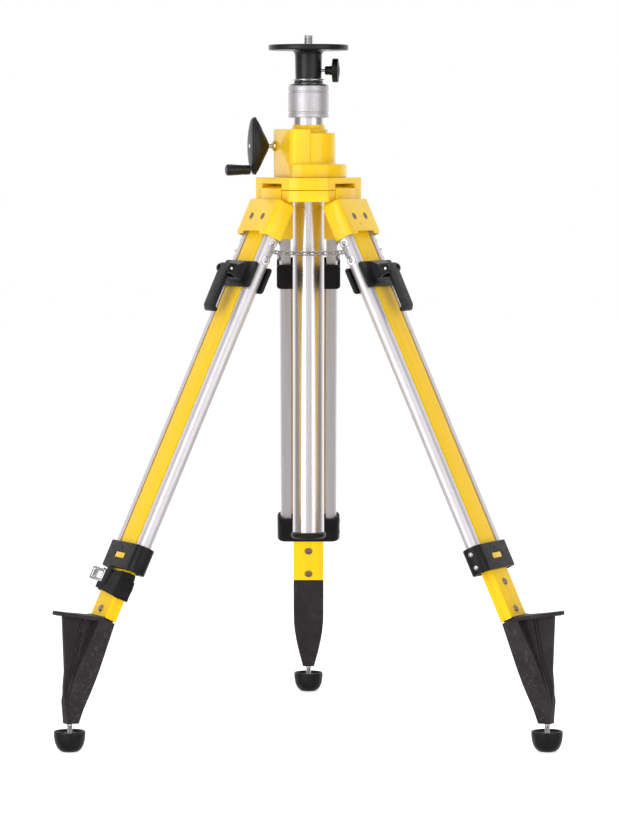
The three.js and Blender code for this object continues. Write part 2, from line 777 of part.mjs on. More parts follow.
// ---------- chain between two legs, in a frame turned so that it runs along X ----------
function chainLink() {
  const slot = (halfLength, radius) => {
    const shape = new THREE.Shape();
    shape.absarc(halfLength, 0, radius, -Math.PI / 2, Math.PI / 2);
    shape.absarc(-halfLength, 0, radius, Math.PI / 2, 1.5 * Math.PI);
    return shape;
  };
  const outline = slot(3.6, 4.2);
  outline.holes.push(slot(3.6, 4.2 - WIRE));
  return prism(outline, -WIRE / 2, WIRE / 2, 1);
}

// Place of a point of the leg's frame in the tripod's frame.
function onLeg(azimuth, n, t, station) {
  return new THREE.Vector3(n, t, -station)
    .applyAxisAngle(new THREE.Vector3(0, 1, 0), -SPLAY)
    .add(new THREE.Vector3(HINGE_R, 0, HINGE_Z))
    .applyAxisAngle(new THREE.Vector3(0, 0, 1), azimuth * DEG);
}

// Bent wire from one screw to the other, its apex off the rail's side.
function eyeWire(azimuth, side) {
  const [upper, lower] = EYE_STATIONS;
  const reach = RAIL_HALF_WIDTH + 3;
  const stops = [
    onLeg(azimuth, 0, side * reach, upper + EYE_CLEARANCE),
    onLeg(azimuth, 0, side * (reach + 10), (upper + lower) / 2),
    onLeg(azimuth, 0, side * reach, lower - EYE_CLEARANCE),
  ];
  const wire = new THREE.CatmullRomCurve3(stops, false, "catmullrom", 0.3);
  const section = new THREE.Shape();
  section.absarc(0, 0, WIRE / 2, 0, 2 * Math.PI);
  const options = { steps: 8, extrudePath: wire, curveSegments: 2, bevelEnabled: false };
  return toSolid(new THREE.ExtrudeGeometry(section, options));
}

// Links from the wire of one leg to the wire of the next, sagging a little.
function legChain(fromAzimuth, toAzimuth) {
  const middle = (EYE_STATIONS[0] + EYE_STATIONS[1]) / 2;
  const apex = RAIL_HALF_WIDTH + 12.2;
  const start = onLeg(fromAzimuth, 0, apex, middle);
  const end = onLeg(toAzimuth, 0, -apex, middle);
  const span = end.clone().sub(start);
  const heading = Math.atan2(span.y, span.x) / DEG;
  const pitch = span.length() / CHAIN_LINKS;
  const links = Array.from({ length: CHAIN_LINKS }, (_, i) => {
    const share = (i + 0.5) / CHAIN_LINKS;
    const place = start.clone().addScaledVector(span, share);
    const drop = 4 * CHAIN_SAG * share * (1 - share);
    const stretch = pitch / 11.4;
    return chainLink()
      .scale([stretch, 1, 1])
      .rotate([i % 2 ? 45 : -45, 0, 0])
      .rotate([0, 0, heading])
      .translate([place.x, place.y, place.z - drop]);
  });
  return join(eyeWire(fromAzimuth, 1), ...links, eyeWire(toAzimuth, -1));
}

// ---------- strap on the left leg ----------
function legStrap() {
  const inner = roundedRect(-12.2, 12.2, -28.8, 28.8, 3.5);
  const outer = roundedRect(-17, 17, -32, 32, 6);
  outer.holes.push(inner);
  return prism(outer, -STRAP_END, -STRAP_START, 2);
}

// Buckle on the strap's face, standing out past its edge.
const strapBuckle = () => prism(roundedRect(17.3, 22, -46, -24, 2), -750, -721, 2);

// ---------- assembly ----------
addPiece(tripod, "head_casting", headCasting(), BLACK);
addPiece(tripod, "head_stud", headStud(), STEEL);
addPiece(tripod, "inner_mast", innerMast(), ALUMINIUM);
addPiece(tripod, "neck_ring", sleeve(SPIGOT_R + GAP, 28.5, RING_BOTTOM, SOCKET_BOTTOM - GAP), STEEL);
addPiece(
  tripod,
  "neck_bumper",
  sleeve(INNER_MAST_R + GAP, 25, NECK_BOTTOM, RING_BOTTOM - GAP),
  DARK,
);
addPiece(tripod, "knurled_collar", knurledCollar(), ALUMINIUM);
addPiece(tripod, "collar_cap", collarCap(), DARK);
addPiece(tripod, "mast_end_cap", mastEndCap(), BLACK);
addPiece(tripod, "hub_plate", hubBlank(HUB_SEAM + 0.15, HUB_TOP - 0.15), YELLOW);
addPiece(tripod, "hub_base", hubBase(), YELLOW);

const knob = new THREE.Group();
knob.position.z = KNOB_Z;
knob.rotation.z = KNOB_AZIMUTH * DEG;
addPiece(knob, "thumb_knob", thumbKnob(), BLACK);
tripod.add(knob);

// The crank's frame is turned so that +X is the shaft's direction; the rack then faces its -Y.
const crank = new THREE.Group();
crank.rotation.z = CRANK_AZIMUTH * DEG;
crank.scale.y = -1;
addPiece(crank, "mast_tube", mastTube(), ALUMINIUM);
addPiece(crank, "mast_rack", mastRack(), STEEL);
addPiece(crank, "gearbox_housing", gearboxHousing(), YELLOW);
addPiece(crank, "pinion_shaft", pinionShaft(), STEEL);
addPiece(crank, "crank_bush", crankBush(), BRASS);
addPiece(crank, "crank_arm", crankArm(), BLACK);
addPiece(crank, "crank_handle", crankHandle(), BLACK);
tripod.add(crank);

for (const [side, azimuth] of Object.entries(LEG_AZIMUTHS)) {
  const hub = new THREE.Group();
  hub.rotation.z = azimuth * DEG;
  tripod.add(hub);

  const leg = new THREE.Group();
  leg.position.set(HINGE_R, 0, HINGE_Z);
  leg.rotation.y = -SPLAY;
  hub.add(leg);

  const named = (piece) => `${side}_${piece}`;
  addPiece(leg, named("hinge_pin"), barY(HINGE_PIN_R, -HINGE_PIN_HALF, HINGE_PIN_HALF, 0, 0), STEEL);
  addPiece(leg, named("shoulder"), shoulder(), YELLOW);
  addPiece(leg, named("rail_a"), rail(), ALUMINIUM);
  addPiece(leg, named("rail_b"), rail().mirror([0, 1, 0]), ALUMINIUM);
  addPiece(leg, named("clamp_body"), clampBody(), BLACK);
  addPiece(leg, named("clamp_lever"), clampLever(), BLACK);
  addPiece(leg, named("lever_pin"), leverPin(), STEEL);
  addPiece(leg, named("guide_collar"), guideCollar(), BLACK);
  addPiece(leg, named("inner_leg"), innerLeg(), YELLOW);
  addPiece(hub, named("foot_casting"), footCasting(), BLACK);
  addPiece(hub, named("foot_stem"), footStem(), STEEL);
  addPiece(hub, named("foot_pad"), footPad(), RUBBER);

  if (side === "left") {
    addPiece(leg, "leg_strap", legStrap(), WEBBING);
    addPiece(leg, "strap_buckle", strapBuckle(), STEEL);
  }
}

const order = Object.entries(LEG_AZIMUTHS);
order.forEach(([side, azimuth], i) => {
  const [nextSide, nextAzimuth] = order[(i + 1) % order.length];
  addPiece(tripod, `chain_${side}_${nextSide}`, legChain(azimuth, nextAzimuth), STEEL);
});

// The origin goes to the middle of the footprint, on the floor.
tripod.updateMatrixWorld(true);
const bounds = new THREE.Box3().setFromObject(tripod, true);
const centre = bounds.getCenter(new THREE.Vector3());
const part = new THREE.Group();
tripod.position.set(-centre.x, -centre.y, -bounds.min.z);
part.add(tripod);

export default part;
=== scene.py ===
import json
from functools import partial
from math import acos, copysign, cos, degrees, pi, sin, tan

import bmesh
import bpy
from mathutils import Matrix, Vector


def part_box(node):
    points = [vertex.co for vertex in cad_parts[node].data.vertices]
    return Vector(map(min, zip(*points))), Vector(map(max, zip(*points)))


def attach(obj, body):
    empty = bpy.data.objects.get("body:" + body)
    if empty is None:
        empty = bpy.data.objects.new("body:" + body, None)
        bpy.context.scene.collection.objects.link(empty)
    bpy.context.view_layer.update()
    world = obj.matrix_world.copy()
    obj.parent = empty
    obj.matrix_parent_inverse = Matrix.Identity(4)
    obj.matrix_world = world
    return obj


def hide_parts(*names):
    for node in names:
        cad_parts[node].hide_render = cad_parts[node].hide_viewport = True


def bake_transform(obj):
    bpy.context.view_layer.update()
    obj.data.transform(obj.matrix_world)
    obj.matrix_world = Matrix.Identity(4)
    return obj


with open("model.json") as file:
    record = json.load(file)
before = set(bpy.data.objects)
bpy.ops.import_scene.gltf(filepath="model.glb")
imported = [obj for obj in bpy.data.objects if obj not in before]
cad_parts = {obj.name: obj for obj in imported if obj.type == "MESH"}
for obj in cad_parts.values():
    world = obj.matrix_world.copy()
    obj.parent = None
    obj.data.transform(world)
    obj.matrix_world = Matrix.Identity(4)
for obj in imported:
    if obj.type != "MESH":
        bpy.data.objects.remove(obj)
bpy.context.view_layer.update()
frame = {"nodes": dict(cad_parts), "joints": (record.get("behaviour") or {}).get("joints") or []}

MM = 0.001
DEG = pi / 180

# ---------- places taken from the frame ----------
low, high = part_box("inner_mast")
AXIS = Vector(((low.x + high.x) / 2, (low.y + high.y) / 2, 0))
JOINTS = {j["name"]: j for j in frame["joints"]}
LEGS = {"rear": 90, "left": 210, "right": 330}
SPLAY = 25.5
CRANK_AZIMUTH = 200
HINGE = 62
HINGE_Z = 948


def spin(angle, axis="Z"):
    return Matrix.Rotation(angle * DEG, 4, axis)


def move(x, y, z):
    return Matrix.Translation(Vector((x, y, z)) * MM)


MAST = Matrix.Translation(AXIS)
CRANK = MAST @ spin(CRANK_AZIMUTH)
HUB_SIDE = {side: MAST @ spin(azimuth) for side, azimuth in LEGS.items()}
LEG = {
    side: Matrix.Translation(Vector(JOINTS[side + "_leg_fold"]["pos_m"]))
    @ spin(azimuth)
    @ spin(-SPLAY, "Y")
    for side, azimuth in LEGS.items()
}


# ---------- materials ----------
RANGE_SOCKETS = ("From Min", "From Max", "To Min", "To Max")


class Shader:
    """A Principled material with small helpers for its nodes."""

    def __init__(self, name, **values):
        self.material = bpy.data.materials.new(name)
        self.material.use_nodes = True
        self.tree = self.material.node_tree
        self.bsdf = next(n for n in self.tree.nodes if n.type == "BSDF_PRINCIPLED")
        for key, value in values.items():
            self.bsdf.inputs[key.replace("_", " ")].default_value = value
        self.coords = self.add("ShaderNodeTexCoord").outputs["Object"]

    def add(self, kind, inputs=None, **settings):
        node = self.tree.nodes.new(kind)
        for key, value in settings.items():
            setattr(node, key, value)
        for key, value in (inputs or {}).items():
            node.inputs[key].default_value = value
        return node

    def link(self, output, node, socket):
        self.tree.links.new(output, node.inputs[socket])

    def stretched(self, scale):
        mapping = self.add("ShaderNodeMapping", {"Scale": scale})
        self.link(self.coords, mapping, "Vector")
        return mapping.outputs["Vector"]

    def noise(self, scale, detail=3.0, rough=0.5, stretch=None):
        node = self.add("ShaderNodeTexNoise", {"Scale": scale, "Detail": detail, "Roughness": rough})
        self.link(self.stretched(stretch) if stretch else self.coords, node, "Vector")
        return node.outputs["Fac"]

    def cells(self, scale):
        node = self.add("ShaderNodeTexVoronoi", {"Scale": scale}, feature="F1")
        self.link(self.coords, node, "Vector")
        return node.outputs["Distance"]

    def remap(self, value, low, high, to_low, to_high):
        node = self.add("ShaderNodeMapRange", dict(zip(RANGE_SOCKETS, (low, high, to_low, to_high))))
        self.link(value, node, "Value")
        return node.outputs["Result"]

    def colour(self, factor, stops):
        ramp = self.add("ShaderNodeValToRGB")
        elements = ramp.color_ramp.elements
        for element, (position, colour) in zip(list(elements), (stops[0], stops[-1])):
            element.position = position
            element.color = (*colour, 1)
        for position, colour in stops[1:-1]:
            elements.new(position).color = (*colour, 1)
        self.link(factor, ramp, "Fac")
        return ramp.outputs["Color"]

    def worn(self, base, wear_colour, scale, amount):
        """Base colour with small patches of another along the sharpest edges."""
        edges = self.remap(
            self.add("ShaderNodeNewGeometry").outputs["Pointiness"], 0.52, 0.6, 0, 1
        )
        patch = self.remap(self.noise(scale, 5, 0.65), 0.55, 0.7, 0, amount)
        both = self.add("ShaderNodeMath", operation="MULTIPLY")
        self.link(edges, both, 0)
        self.link(patch, both, 1)
        node = self.add("ShaderNodeMix", data_type="RGBA")
        node.inputs[7].default_value = (*wear_colour, 1)
        self.link(both.outputs[0], node, 0)
        self.link(base, node, 6)
        return node.outputs[2]

    def bumps(self, *layers):
        """Layers of (height output, strength, distance in metres), the last on top."""
        normal = None
        for height, strength, distance in layers:
            node = self.add("ShaderNodeBump", {"Strength": strength, "Distance": distance})
            self.link(height, node, "Height")
            if normal:
                self.link(normal, node, "Normal")
            normal = node.outputs["Normal"]
        self.link(normal, self.bsdf, "Normal")

    def finish(self, colour, roughness):
        self.link(colour, self.bsdf, "Base Color")
        self.link(roughness, self.bsdf, "Roughness")
        return self.material


def surface(name, slot, tone, stops, bumps, rough, worn=None, **values):
    """A material from noises: tone picks among the colour stops, bumps are (noise, strength, distance in
    metres), rough is (noise, lowest, highest) and worn is (colour, scale, amount). A noise given as one
    number is a cell pattern of that scale."""
    s = Shader(name, **values)
    base = s.colour(s.noise(*tone), stops)
    s.bumps(*((s.noise(*n) if isinstance(n, tuple) else s.cells(n), *rest) for n, *rest in bumps))
    if worn:
        base = s.worn(base, *worn)
    noise, lowest, highest = rough
    material = s.finish(base, s.remap(s.noise(*noise), 0.3, 0.7, lowest, highest))
    return material


def webbing():
    s = Shader("webbing", Sheen_Weight=0.1, Sheen_Roughness=0.5, Specular_IOR_Level=0.15)
    weave = []
    for direction in ("Z", "Y"):
        wave = s.add("ShaderNodeTexWave", {"Scale": 260, "Distortion": 0.4}, bands_direction=direction)
        s.link(s.coords, wave, "Vector")
        weave.append(wave.outputs["Fac"])
    threads = s.add("ShaderNodeMath", operation="MAXIMUM")
    s.link(weave[0], threads, 0)
    s.link(weave[1], threads, 1)
    base = s.colour(threads.outputs[0], [(0.2, (0.003, 0.003, 0.003)), (0.9, (0.016, 0.014, 0.016))])
    s.bumps((threads.outputs[0], 0.5, 0.0004), (s.noise(700, 3), 0.2, 0.0003))
    material = s.finish(base, s.remap(s.noise(200, 3), 0.3, 0.7, 0.75, 0.92))
    return material


PAINT_GRAIN = (1.0, 1.0, 0.02)  # how far a noise is drawn out along each axis
DRAWN_GRAIN = (1.0, 1.0, 0.012)
TUBE_GRAIN = (1.0, 1.0, 0.01)
GLIDE_GRAIN = (1.0, 1.0, 0.03)
LATHE_GRAIN = (0.06, 0.06, 1.0)

YELLOW = surface(
    "yellow_paint", "yellow_paint", (14, 3),
    [(0.3, (0.88, 0.53, 0.001)), (0.55, (0.92, 0.59, 0.002)), (0.75, (0.95, 0.63, 0.003))],
    [((700, 2), 0.05, 0.0004), ((120, 2), 0.05, 0.0008)], ((60, 4), 0.26, 0.4),
    ((0.55, 0.36, 0.06), 160, 0.35), Coat_Weight=0.45, Coat_Roughness=0.06, Specular_IOR_Level=0.25,
)
YELLOW_LEG = surface(
    "yellow_leg", "yellow_paint", (90, 3, 0.6, PAINT_GRAIN),
    [(0.3, (0.9, 0.53, 0.001)), (0.5, (0.94, 0.59, 0.002)), (0.72, (0.96, 0.63, 0.003))],
    [((1500, 2, 0.5, PAINT_GRAIN), 0.06, 0.0003), ((90, 2), 0.04, 0.0006)],
    ((240, 3, 0.6, PAINT_GRAIN), 0.3, 0.46), ((0.6, 0.42, 0.1), 220, 0.3), Coat_Weight=0.0,
    Specular_IOR_Level=0.2,
)
PLASTIC = surface(
    "black_plastic", "black_casting", (35, 4),
    [(0.3, (0.003, 0.0026, 0.003)), (0.7, (0.008, 0.007, 0.008))],
    [((1600, 2), 0.1, 0.0003), ((60, 2), 0.05, 0.001)], ((110, 4), 0.34, 0.5),
    ((0.09, 0.085, 0.088), 300, 0.5), Specular_IOR_Level=0.28,
)
SATIN = surface(
    "black_satin", "black_casting", (25, 3), [(0.3, (0.003, 0.0026, 0.003)), (0.7, (0.009, 0.008, 0.009))],
    [((900, 2), 0.05, 0.0003)], ((80, 4), 0.3, 0.44), ((0.12, 0.115, 0.12), 260, 0.6),
    Coat_Weight=0.1, Coat_Roughness=0.2, Specular_IOR_Level=0.35,
)
GRAIN = surface(
    "foot_casting_grain", "black_casting", (30, 5, 0.6),
    [(0.3, (0.018, 0.0145, 0.0165)), (0.55, (0.026, 0.021, 0.024)), (0.75, (0.036, 0.03, 0.034))],
    [((900, 3, 0.6), 0.16, 0.0004), ((45, 3), 0.08, 0.0012)], ((150, 3), 0.5, 0.68),
    ((0.13, 0.12, 0.125), 200, 0.7), Specular_IOR_Level=0.25,
)
DRAWN = surface(
    "drawn_aluminium", "anodised", (700, 4, 0.6, DRAWN_GRAIN),
    [(0.3, (0.72, 0.69, 0.72)), (0.7, (0.86, 0.83, 0.86))],
    [((2600, 3, 0.6, DRAWN_GRAIN), 0.05, 0.0003), ((40, 2), 0.02, 0.001)],
    ((400, 3, 0.6, DRAWN_GRAIN), 0.42, 0.54), Metallic=0.85,
)
POLISHED = surface(
    "polished_tube", "anodised", (500, 4, 0.6, TUBE_GRAIN),
    [(0.3, (0.66, 0.62, 0.63)), (0.7, (0.8, 0.77, 0.79))], [((2200, 3, 0.6, TUBE_GRAIN), 0.04, 0.0003)],
    ((300, 3, 0.6, TUBE_GRAIN), 0.2, 0.3), Metallic=1.0,
)
TURNED = surface(
    "turned_aluminium", "anodised", (1800, 3, 0.6, LATHE_GRAIN),
    [(0.3, (0.56, 0.54, 0.56)), (0.7, (0.7, 0.68, 0.7))],
    [((2600, 2, 0.5, LATHE_GRAIN), 0.1, 0.0003), (1100, 0.1, 0.0002)], ((120, 3), 0.42, 0.54),
    Metallic=0.9,
)
STEEL = surface(
    "bright_steel", "steel", (120, 4, 0.6), [(0.3, (0.6, 0.59, 0.6)), (0.7, (0.8, 0.79, 0.8))],
    [((1300, 3), 0.06, 0.0002)], ((260, 4), 0.18, 0.34), Metallic=1.0,
)
CHAIN = surface(
    "nickel_chain", "steel", (300, 4, 0.6), [(0.3, (0.3, 0.28, 0.28)), (0.7, (0.58, 0.56, 0.56))],
    [((1500, 3), 0.08, 0.0002)], ((300, 4), 0.14, 0.3), Metallic=1.0,
)
ZINC = surface(
    "zinc_bolt", "steel", (260, 4, 0.6),
    [(0.3, (0.36, 0.24, 0.13)), (0.5, (0.5, 0.38, 0.26)), (0.75, (0.66, 0.6, 0.55))],
    [((1400, 3), 0.1, 0.0002)], ((300, 4), 0.24, 0.42), Metallic=1.0,
)
# Plug colour is partly its own grey metal and partly painted shade: the dark brownish tone paints in the
# shade of the recess it sits in.
PLUG_SHADED = surface(
    "grey_plug_painted_shade", "steel", (220, 4, 0.6), [(0.3, (0.16, 0.13, 0.07)), (0.7, (0.3, 0.26, 0.17))],
    [((900, 3), 0.1, 0.0002)], ((240, 4), 0.35, 0.5), Metallic=0.6,
)
BRASS = surface(
    "brass", "brass", (160, 4, 0.6), [(0.3, (0.62, 0.38, 0.13)), (0.7, (0.83, 0.58, 0.26))],
    [((1500, 3), 0.06, 0.0002)], ((240, 4), 0.18, 0.32), Metallic=1.0,
)
DARK = surface(
    "dark_anodised", "dark_ring", (90, 3), [(0.3, (0.075, 0.073, 0.075)), (0.7, (0.12, 0.117, 0.12))],
    [((1600, 2, 0.5, LATHE_GRAIN), 0.08, 0.0002)], ((140, 3), 0.34, 0.48), Metallic=0.5,
)
RUBBER = surface(
    "rubber", "rubber", (60, 5, 0.65),
    [(0.3, (0.004, 0.004, 0.005)), (0.6, (0.008, 0.007, 0.008)), (0.78, (0.028, 0.024, 0.026))],
    [((800, 4, 0.6), 0.22, 0.0004), ((50, 3), 0.15, 0.0016)], ((90, 4), 0.38, 0.6), Specular_IOR_Level=0.3,
)
GLIDE = surface(
    "glide", "anodised", (300, 3, 0.6, GLIDE_GRAIN), [(0.3, (0.5, 0.36, 0.18)), (0.7, (0.66, 0.5, 0.3))],
    [((1200, 3, 0.5, GLIDE_GRAIN), 0.1, 0.0002)], ((200, 3), 0.45, 0.6), Specular_IOR_Level=0.3,
)
WEBBING = webbing()


# ---------- meshes, in millimetres until to_mesh ----------
def arc(cx, cy, radius, start, end, steps):
    angles = [(start + (end - start) * i / steps) * DEG for i in range(steps + 1)]
    return [(cx + radius * cos(a), cy + radius * sin(a)) for a in angles]


def rounded(points, radius=1.0, steps=4, closed=True):
    """A polygon with its corners rounded. A point may carry its own radius as a third number."""
    result = []
    count = len(points)
    for i, point in enumerate(points):
        corner = Vector(point[:2])
        r = point[2] if len(point) > 2 else radius
        if r <= 0 or (not closed and i in (0, count - 1)):
            result.append(tuple(corner))
            continue
        before = Vector(points[i - 1][:2]) - corner
        after = Vector(points[(i + 1) % count][:2]) - corner
        angle = before.angle(after, pi)
        if angle > 175 * DEG:
            result.append(tuple(corner))
            continue
        reach = min(r / tan(angle / 2), 0.48 * before.length, 0.48 * after.length)
        first = corner + before.normalized() * reach
        last = corner + after.normalized() * reach
        for k in range(steps + 1):
            t = k / steps
            p = (1 - t) ** 2 * first + 2 * t * (1 - t) * corner + t * t * last
            result.append(tuple(p))
    return result


def new_object(name, data):
    obj = bpy.data.objects.new(name, data)
    bpy.context.scene.collection.objects.link(obj)
    return obj


def bridge(bm, *rings):
    """Quads from each closed ring of vertices to the next."""
    for a, b in zip(rings, rings[1:]):
        for i in range(len(a)):
            j = (i + 1) % len(a)
            bm.faces.new((a[i], a[j], b[j], b[i]))


def to_mesh(bm, matrix=None):
    bmesh.ops.remove_doubles(bm, verts=bm.verts, dist=1e-4)
    bmesh.ops.recalc_face_normals(bm, faces=bm.faces)
    mesh = bpy.data.meshes.new("mesh")
    bm.transform(Matrix.Scale(MM, 4) @ (matrix or Matrix.Identity(4)))
    bm.to_mesh(mesh)
    bm.free()
    return mesh


def turned(profile, segments=96, ring=False, axis="Z", wobble=None):
    """Revolves (radius, height) points. wobble(angle, radius, height) gives the radius instead."""
    bm = bmesh.new()
    rows = []
    for r, z in profile:
        if r < 1e-6:
            rows.append([bm.verts.new((0, 0, z))])
            continue
        row = []
        for i in range(segments):
            a = 2 * pi * i / segments
            radius = wobble(a, r, z) if wobble else r
            row.append(bm.verts.new((radius * cos(a), radius * sin(a), z)))
        rows.append(row)
    pairs = list(zip(rows, rows[1:])) + ([(rows[-1], rows[0])] if ring else [])
    for a, b in pairs:
        for i in range(segments):
            j = (i + 1) % segments
            corners = [a[i % len(a)], a[j % len(a)], b[j % len(b)], b[i % len(b)]]
            unique = list(dict.fromkeys(corners))
            if len(unique) > 2:
                bm.faces.new(unique)
    turn = {"Z": Matrix.Identity(4), "X": spin(90, "Y"), "Y": spin(-90, "X")}[axis]
    return to_mesh(bm, turn)


def prism(outline, start, end, axis="Z", hole=None):
    """Extrudes an outline: in XY along Z, in XZ along Y, or in YZ along X. A hole has as many points."""
    place = {
        "Z": lambda u, v, w: (u, v, w),
        "Y": lambda u, v, w: (u, w, v),
        "X": lambda u, v, w: (w, u, v),
    }[axis]
    bm = bmesh.new()
    loops = [outline] + ([hole] if hole else [])
    grid = [[[bm.verts.new(place(u, v, w)) for u, v in loop] for w in (start, end)] for loop in loops]
    for ends in grid:
        bridge(bm, *ends)
    for k in (0, 1):
        if hole:
            bridge(bm, grid[0][k], grid[1][k])
        else:
            bm.faces.new(grid[0][k])
    return to_mesh(bm)


def block(x0, x1, y0, y1, z0, z1):
    return prism([(x0, y0), (x1, y0), (x1, y1), (x0, y1)], z0, z1)


def rounded_box(x0, x1, y0, y1, radius, steps=8):
    return (
        arc(x1 - radius, y0 + radius, radius, -90, 0, steps)
        + arc(x1 - radius, y1 - radius, radius, 0, 90, steps)
        + arc(x0 + radius, y1 - radius, radius, 90, 180, steps)
        + arc(x0 + radius, y0 + radius, radius, 180, 270, steps)
    )


def rod(radius, start, end, axis="Z", chamfer=0.6, segments=48):
    profile = rounded([(0, start), (radius, start), (radius, end), (0, end)], chamfer, 3, False)
    return turned(profile, segments, axis=axis)


def shifted(mesh, matrix):
    mesh.transform(matrix)
    return mesh


def sweep(points, radius, sides=10, closed=False):
    """A round bar along a line of points."""
    bm = bmesh.new()
    count = len(points)
    up = Vector((0, 0, 1))
    rings = []
    for i, p in enumerate(points):
        if closed:
            tangent = points[(i + 1) % count] - points[i - 1]
        else:
            tangent = points[min(i + 1, count - 1)] - points[max(i - 1, 0)]
        tangent.normalize()
        side = tangent.cross(up)
        if side.length < 0.05:
            side = tangent.cross(Vector((1, 0, 0)))
        side.normalize()
        up = side.cross(tangent).normalized()
        circle = arc(0, 0, radius, 0, 360, sides)[:-1]
        rings.append([bm.verts.new(p + x * side + y * up) for x, y in circle])
    if closed:
        bridge(bm, *rings, rings[0])
    else:
        bridge(bm, *rings)
        bm.faces.new(rings[0])
        bm.faces.new(rings[-1])
    return to_mesh(bm)


def applied(obj):
    bpy.context.view_layer.update()
    depsgraph = bpy.context.evaluated_depsgraph_get()
    return bpy.data.meshes.new_from_object(obj.evaluated_get(depsgraph))


def softened(mesh, width, segments=3, angle=30):
    """The mesh with every edge sharper than angle rounded to width, in millimetres."""
    obj = new_object("temporary", mesh)
    bevel = obj.modifiers.new("bevel", "BEVEL")
    bevel.width = width * MM
    bevel.segments = segments
    bevel.limit_method = "ANGLE"
    bevel.angle_limit = angle * DEG
    bevel.miter_outer = "MITER_ARC"
    result = applied(obj)
    bpy.data.objects.remove(obj)
    return result


def combined(operation, base, *others):
    """Base joined with, cut by or limited to the others, one after another."""
    obj = new_object("temporary", base)
    helpers = []
    for other in others:
        helper = new_object("temporary", other)
        helpers.append(helper)
        modifier = obj.modifiers.new("boolean", "BOOLEAN")
        modifier.operation = operation
        modifier.solver = "EXACT"
        modifier.object = helper
    result = applied(obj)
    for helper in [obj, *helpers]:
        bpy.data.objects.remove(helper)
    return result


cut = partial(combined, "DIFFERENCE")
join = partial(combined, "UNION")
limit = partial(combined, "INTERSECT")


def gathered(*meshes):
    """Several meshes as the shells of one piece."""
    bm = bmesh.new()
    for mesh in meshes:
        bm.from_mesh(mesh)
    result = bpy.data.meshes.new("mesh")
    bm.to_mesh(result)
    bm.free()
    return result


def shade(mesh, angle=28):
    """Smooth shading with edges sharper than angle kept crisp."""
    bm = bmesh.new()
    bm.from_mesh(mesh)
    bmesh.ops.remove_doubles(bm, verts=bm.verts, dist=2e-6)
    bmesh.ops.dissolve_degenerate(bm, edges=bm.edges, dist=1e-6)
    bmesh.ops.recalc_face_normals(bm, faces=bm.faces)
    for face in bm.faces:
        face.smooth = True
    for edge in bm.edges:
        edge.smooth = len(edge.link_faces) == 2 and edge.calc_face_angle() < angle * DEG
    bm.to_mesh(mesh)
    bm.free()
    return mesh


def piece(name, mesh, body, material, matrix=None, nodes=(), angle=28, placed=False):
    """Puts a mesh in the scene as a piece that rides on a body and may stand for CAD nodes.
    A placed piece has its place in its vertices."""
    if placed:
        mesh = mesh.copy()
        mesh.transform(matrix)
        matrix = None
    if not mesh.get("shaded"):
        shade(mesh, angle)
        mesh["shaded"] = True
        mesh.name = name
        mesh.materials.append(material)
    obj = new_object(name, mesh)
    obj.matrix_world = matrix or Matrix.Identity(4)
    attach(obj, body)
    if nodes:
        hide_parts(*nodes)
    return obj


# ---------- head ----------
HEAD_TOP = 1211
SOCKET_BOTTOM = 1152.3
STUD_TOP = 1228
STUD_R = 7.9375
THREAD_PITCH = 25.4 / 11
KNOB_Z = 1166
KNOB_AZIMUTH = -5


def head_casting():
    rim = [(66, 1201), (69.2, 1201.4), (70, 1203), (70, 1209), (69.3, 1210.6), (67.4, 1211)]
    top = []
    for groove in (60, 46, 32):
        top += [(groove + 0.9, HEAD_TOP), (groove + 0.3, HEAD_TOP - 0.7)]
        top += [(groove - 0.3, HEAD_TOP - 0.7), (groove - 0.9, HEAD_TOP)]
    profile = (
        [(0, 1193), (18.4, 1193), (18.4, SOCKET_BOTTOM + 0.6), (18.9, SOCKET_BOTTOM)]
        + [(22.3, SOCKET_BOTTOM), (23, SOCKET_BOTTOM + 0.8), (23.6, 1190)]
        + arc(32.4, 1192.2, 8.8, 180, 90, 10)
        + rounded([(60, 1201)] + rim + [(61, 1211)], 0.8, 3, False)
        + top
        + [(13.4, HEAD_TOP), (12.9, HEAD_TOP - 1), (9.2, HEAD_TOP - 1), (8.2, HEAD_TOP - 1.6)]
        + [(8.2, 1196), (0, 1196)]
    )
    return turned(profile, 144)


def threaded_stud():
    """A stud with a real helical thread and a chamfered end."""

    def helix(a, r, z):
        if r < 5:
            return r
        phase = (z / THREAD_PITCH - a / (2 * pi)) % 1.0
        depth = 1.35 * (1 - abs(2 * phase - 1))
        fade = min(1.0, max(0.0, (STUD_TOP - 1.3 - z) / 1.0))
        return min(r, STUD_R) - depth * fade

    rows = 116
    foot = 1197
    profile = [(0, foot)]
    for i in range(rows + 1):
        z = foot + (STUD_TOP - 1.3 - foot) * i / rows
        profile.append((STUD_R, z))
    profile += [(STUD_R - 1.3, STUD_TOP), (0, STUD_TOP)]
    return turned(profile, 64, wobble=helix)


def lobed_knob():
    """Seven-lobed disc, domed on its outer face, on a waisted hub."""
    lobes = []
    for i in range(168):
        a = 2 * pi * i / 168
        r = 21 - 1.5 * (1 - abs(cos(3.5 * a)) ** 0.7)
        lobes.append((r * cos(a), r * sin(a)))
    disc = softened(prism(lobes, 42.5, 52.6, "X"), 2.8, 4, 50)
    dome = turned([(0, 55), (6, 54.7), (12, 53.6), (15.5, 52.1), (15.5, 50), (0, 50)], 72, axis="X")
    hub = turned(
        rounded([(0, 29), (6.6, 29), (8, 31), (7.4, 35), (8.6, 43), (0, 43)], 1.2, 4, False), 64, axis="X"
    )
    return gathered(disc, dome, hub)


def build_head():
    piece("head_body", head_casting(), "head", SATIN, MAST, ["head_casting"])
    piece("head_thread", threaded_stud(), "head", STEEL, MAST, ["head_stud"], 50)
    knob_frame = MAST @ spin(KNOB_AZIMUTH) @ move(0, 0, KNOB_Z)
    piece("knob_grip", lobed_knob(), "knob", PLASTIC, knob_frame, ["thumb_knob"])
    piece("knob_screw", rod(2.6, 18.6, 33, "X", 0.4, 32), "knob", STEEL, knob_frame)


